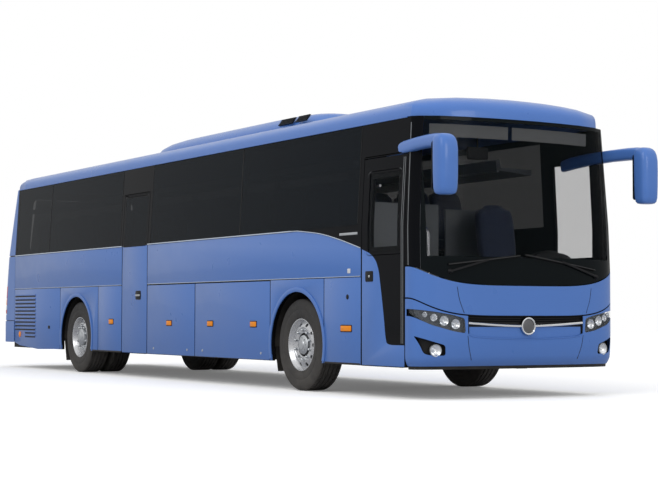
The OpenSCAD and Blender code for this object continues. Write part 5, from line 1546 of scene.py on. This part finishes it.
def seat_pair(name, front_x, side):
    """Two high-backed seats on one pedestal, with crowned pads, bolstered seams and head rolls."""
    def up_back(length):
        return Vector((front_x - 0.405 - math.sin(LEAN) * length, y, FLOOR_Z + 0.430 + math.cos(LEAN) * length))

    cloth, hard = bmesh.new(), bmesh.new()
    for seat_y in SEAT_YS:
        y = side * seat_y
        pad(cloth, (front_x - 0.225, y, FLOOR_Z + 0.415), (0.225, 0.217, 0.068), 0.06, 5, 5, SIDE_SEAMS)
        pad(cloth, up_back(0.33), (0.062, 0.215, 0.345), LEAN, 5, 5, SIDE_SEAMS)
        pad(cloth, up_back(0.60) + Vector((0.022, 0, 0)), (0.050, 0.165, 0.085), LEAN, 3.5, 3)
        block(hard, (front_x - 0.42, y - 0.205, FLOOR_Z + 0.315), (front_x - 0.03, y + 0.205, FLOOR_Z + 0.352), 0.012)
    # armrest on the aisle, and the pedestal
    y = side * 0.180
    block(hard, (front_x - 0.40, y - 0.016, FLOOR_Z + 0.600), (front_x - 0.08, y + 0.016, FLOOR_Z + 0.640), 0.012, 3)
    y = side * 0.62
    block(hard, (front_x - 0.34, y - 0.10, FLOOR_Z + 0.010), (front_x - 0.12, y + 0.10, FLOOR_Z + 0.325), 0.02)
    soft = build(name, cloth, "cloth", sharp=70)
    build(name + "_base", hard, "black_plastic", sharp=35)
    return soft


pairs = []
for row in range(SEAT_ROWS):
    front_x = first_front_x - SEAT_PITCH * row
    for side, tag in reversed(SIDES):
        by_door = tag == "right" and -1.511 < front_x < 0.064
        if not by_door:
            pairs.append(seat_pair(f"seats_{tag}_{row + 1}", front_x, side))
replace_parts(pairs[0], "passenger_seats")

cloth, hard = bmesh.new(), bmesh.new()
seat_x = 5.060
pad(cloth, (seat_x - 0.24, 0.650, 1.400), (0.245, 0.245, 0.070), 0.05, 5, 5, SIDE_SEAMS)
pad(cloth, (seat_x - 0.515, 0.650, 1.735), (0.066, 0.240, 0.330), 0.16, 5, 5, SIDE_SEAMS)
pad(cloth, (seat_x - 0.560, 0.650, 2.010), (0.050, 0.140, 0.070), 0.16, 3.5, 3)
block(hard, (seat_x - 0.44, 0.44, 1.270), (seat_x - 0.06, 0.86, 1.335), 0.02)
block(hard, (seat_x - 0.40, 0.48, 0.935), (seat_x - 0.10, 0.82, 1.275), 0.03)
driver_pads = build("driver_seat_pads", cloth, "cloth", sharp=70)
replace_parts(driver_pads, "driver_seat")
build("driver_seat_base", hard, "black_plastic", sharp=35)

# ---- cab ----

dash_low, dash_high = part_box("dashboard")
profile = [(5.735, 0.935), (5.735, 1.395), (5.690, 1.425), (5.560, 1.436), (5.455, 1.425), (5.400, 1.370),
           (5.375, 1.300), (5.392, 1.200), (5.440, 1.080), (5.470, 0.935)]
dash = prism(round_corners(profile, 0.03, 3), "Y", dash_low.y, dash_high.y)
dash_piece = build("dashboard_moulding", dash, "grey_plastic", bevel=0.008, rounds=2)
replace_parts(dash_piece, "dashboard")
DRIVER_Y = 0.65
hood_rings = []
for share in np.linspace(-1, 1, 13):
    y = DRIVER_Y + 0.30 * share
    rise = 0.105 * (1 - abs(share) ** 3.2)
    hood_rings.append([Vector((5.412, y, 1.380)), Vector((5.398, y, 1.395 + rise * 0.25)),
                       Vector((5.450, y, 1.410 + rise * 0.40)), Vector((5.560, y, 1.425 + rise * 0.85)),
                       Vector((5.660, y, 1.405))])
build("instrument_hood", loft(hood_rings), "black_plastic", sharp=40)
for j, (y, r) in enumerate(((0.57, 0.042), (0.73, 0.042), (DRIVER_Y, 0.022))):
    dial = lathe([(0, 0), (r * 0.9, 0), (r * 0.94, -0.006), (r, -0.006), (r, 0.030), (0, 0.030)],
                 (5.376, y, 1.368 if j < 2 else 1.338), "X", 28)
    build(f"dial_{j + 1}", dial, "black_gloss" if j < 2 else "amber")
for k, (a, b) in enumerate(((-1.060, -0.180), (-0.130, 0.910))):
    rows = []
    for y in np.linspace(a, b, 16):
        p = nose_point(nose_angle(y, 2.70), 2.70)
        rows.append([Vector((p.x - 0.055, y, 2.640)), Vector((p.x - 0.050, y, 2.770)), Vector((p.x - 0.056, y, 2.770)),
                     Vector((p.x - 0.061, y, 2.640))])
    build(f"sun_blind_{k + 1}", loft(rows), "blind")
cab_mirror = bmesh.new()
block(cab_mirror, (5.770, -0.62, 2.430), (5.805, -0.36, 2.560), 0.014, 3)
block(cab_mirror, (5.782, -0.50, 2.550), (5.796, -0.48, 2.760), 0.003, 1)
build("cab_mirror", cab_mirror, "black_plastic", sharp=40)
rails = {
    "stair_rail_front": [(5.150, -0.660, 0.935), (5.150, -0.660, 1.700), (5.110, -0.660, 1.760),
                         (4.760, -0.660, 1.760)],
    "stair_rail_rear": [(4.700, -1.100, 1.260), (4.700, -1.100, 2.150), (4.740, -1.100, 2.200),
                        (4.900, -1.100, 2.200)],
    "mid_stair_rail": [(-0.600, -0.640, 1.250), (-0.600, -0.640, 2.050), (-0.640, -0.640, 2.100),
                       (-0.900, -0.640, 2.100)],
}
for label, path in rails.items():
    tube(label, path, 0.016, "steel")
for k, tag in SIDES:
    tube(f"rack_rail_{tag}", [(-5.58, k * 0.735, 2.470), (4.48, k * 0.735, 2.470)], 0.014, "alloy")


# ---- floor, light and camera ----

floor_bm = bmesh.new()
bmesh.ops.create_circle(floor_bm, cap_ends=True, segments=64, radius=60)
studio_floor = new_object("studio_floor", floor_bm)
studio_floor.location.z = -0.002


def make_floor():
    """Pale floor: near white to the camera, greyer in the light it throws back."""
    mat = make_finish("studio_floor", (1.0, 1.0, 1.0), 0.95, specular=0.0, drift=(0.3, 0.004), rough_swing=0.02)
    tree = mat.node_tree
    shader = tree.nodes["Principled BSDF"]
    shader.inputs["Emission Color"].default_value = (1, 1, 1, 1)
    shader.inputs["Emission Strength"].default_value = 0.14
    bounce = add_node(tree, "ShaderNodeBsdfDiffuse", Color=(0.50, 0.50, 0.51, 1))
    seen = add_node(tree, "ShaderNodeLightPath")
    pick = add_node(tree, "ShaderNodeMixShader", {0: seen.outputs["Is Camera Ray"], 1: bounce.outputs[0],
                                                  2: shader.outputs[0]})
    tree.links.new(pick.outputs[0], tree.nodes["Material Output"].inputs["Surface"])
    return mat


studio_floor.data.materials.append(make_floor())

world = bpy.data.worlds.new("studio")
bpy.context.scene.world = world
world.use_nodes = True
tree = world.node_tree
tree.nodes.clear()
path_kind = add_node(tree, "ShaderNodeLightPath")
place = add_node(tree, "ShaderNodeTexCoord")
split = add_node(tree, "ShaderNodeSeparateXYZ", {0: place.outputs["Generated"]})
soft = add_node(tree, "ShaderNodeMapRange", {"Value": split.outputs["Z"]})
for label, value in (("From Min", -0.1), ("From Max", 0.9), ("To Min", 0.66), ("To Max", 1.02)):
    soft.inputs[label].default_value = value
plain = add_node(tree, "ShaderNodeBackground", Color=(1, 1, 1, 1), Strength=1.0)
lit = add_node(tree, "ShaderNodeBackground", {"Strength": soft.outputs["Result"]}, Color=(1, 1, 1, 1))
either = maths(tree, "MAXIMUM", path_kind.outputs["Is Camera Ray"], path_kind.outputs["Is Transmission Ray"])
mix = add_node(tree, "ShaderNodeMixShader", {0: either, 1: lit.outputs[0], 2: plain.outputs[0]})
add_node(tree, "ShaderNodeOutputWorld", {"Surface": mix.outputs[0]})


def area_light(name, place, aim, size, power):
    """Soft light at a place, turned towards its aim."""
    light = bpy.data.lights.new(name, "AREA")
    light.shape = "RECTANGLE"
    light.size, light.size_y = size
    light.energy = power
    obj = bpy.data.objects.new(name, light)
    obj.location = place
    obj.rotation_euler = (Vector(aim) - Vector(place)).to_track_quat("-Z", "Y").to_euler()
    bpy.context.scene.collection.objects.link(obj)
    obj.visible_camera = False


area_light("key_light", (10, -14, 13), (0, 0, 1), (12, 10), 900)
area_light("front_light", (22, 2, 7), (4, 0, 1), (6, 6), 420)

EYE = Vector((19.198, -10.131, 0.845))
YAW_PITCH_ROLL_DEG = (149.536, 2.405, 0.136)
lens = bpy.data.cameras.new("camera")
lens.lens = 88.5
lens.sensor_width = 36
lens.clip_end = 300
camera = bpy.data.objects.new("camera", lens)
bpy.context.scene.collection.objects.link(camera)
yaw, pitch, roll = (math.radians(v) for v in YAW_PITCH_ROLL_DEG)
ahead = Vector((math.cos(yaw) * math.cos(pitch), math.sin(yaw) * math.cos(pitch), math.sin(pitch)))
right = ahead.cross(Vector((0, 0, 1))).normalized()
up = right.cross(ahead)
cam_right = right * math.cos(roll) + up * math.sin(roll)
cam_up = up * math.cos(roll) - right * math.sin(roll)
axes = Matrix((cam_right, cam_up, -ahead)).transposed()
camera.matrix_world = Matrix.Translation(EYE) @ axes.to_4x4()
bpy.context.scene.camera = camera
bpy.context.scene.view_settings.view_transform = "Standard"
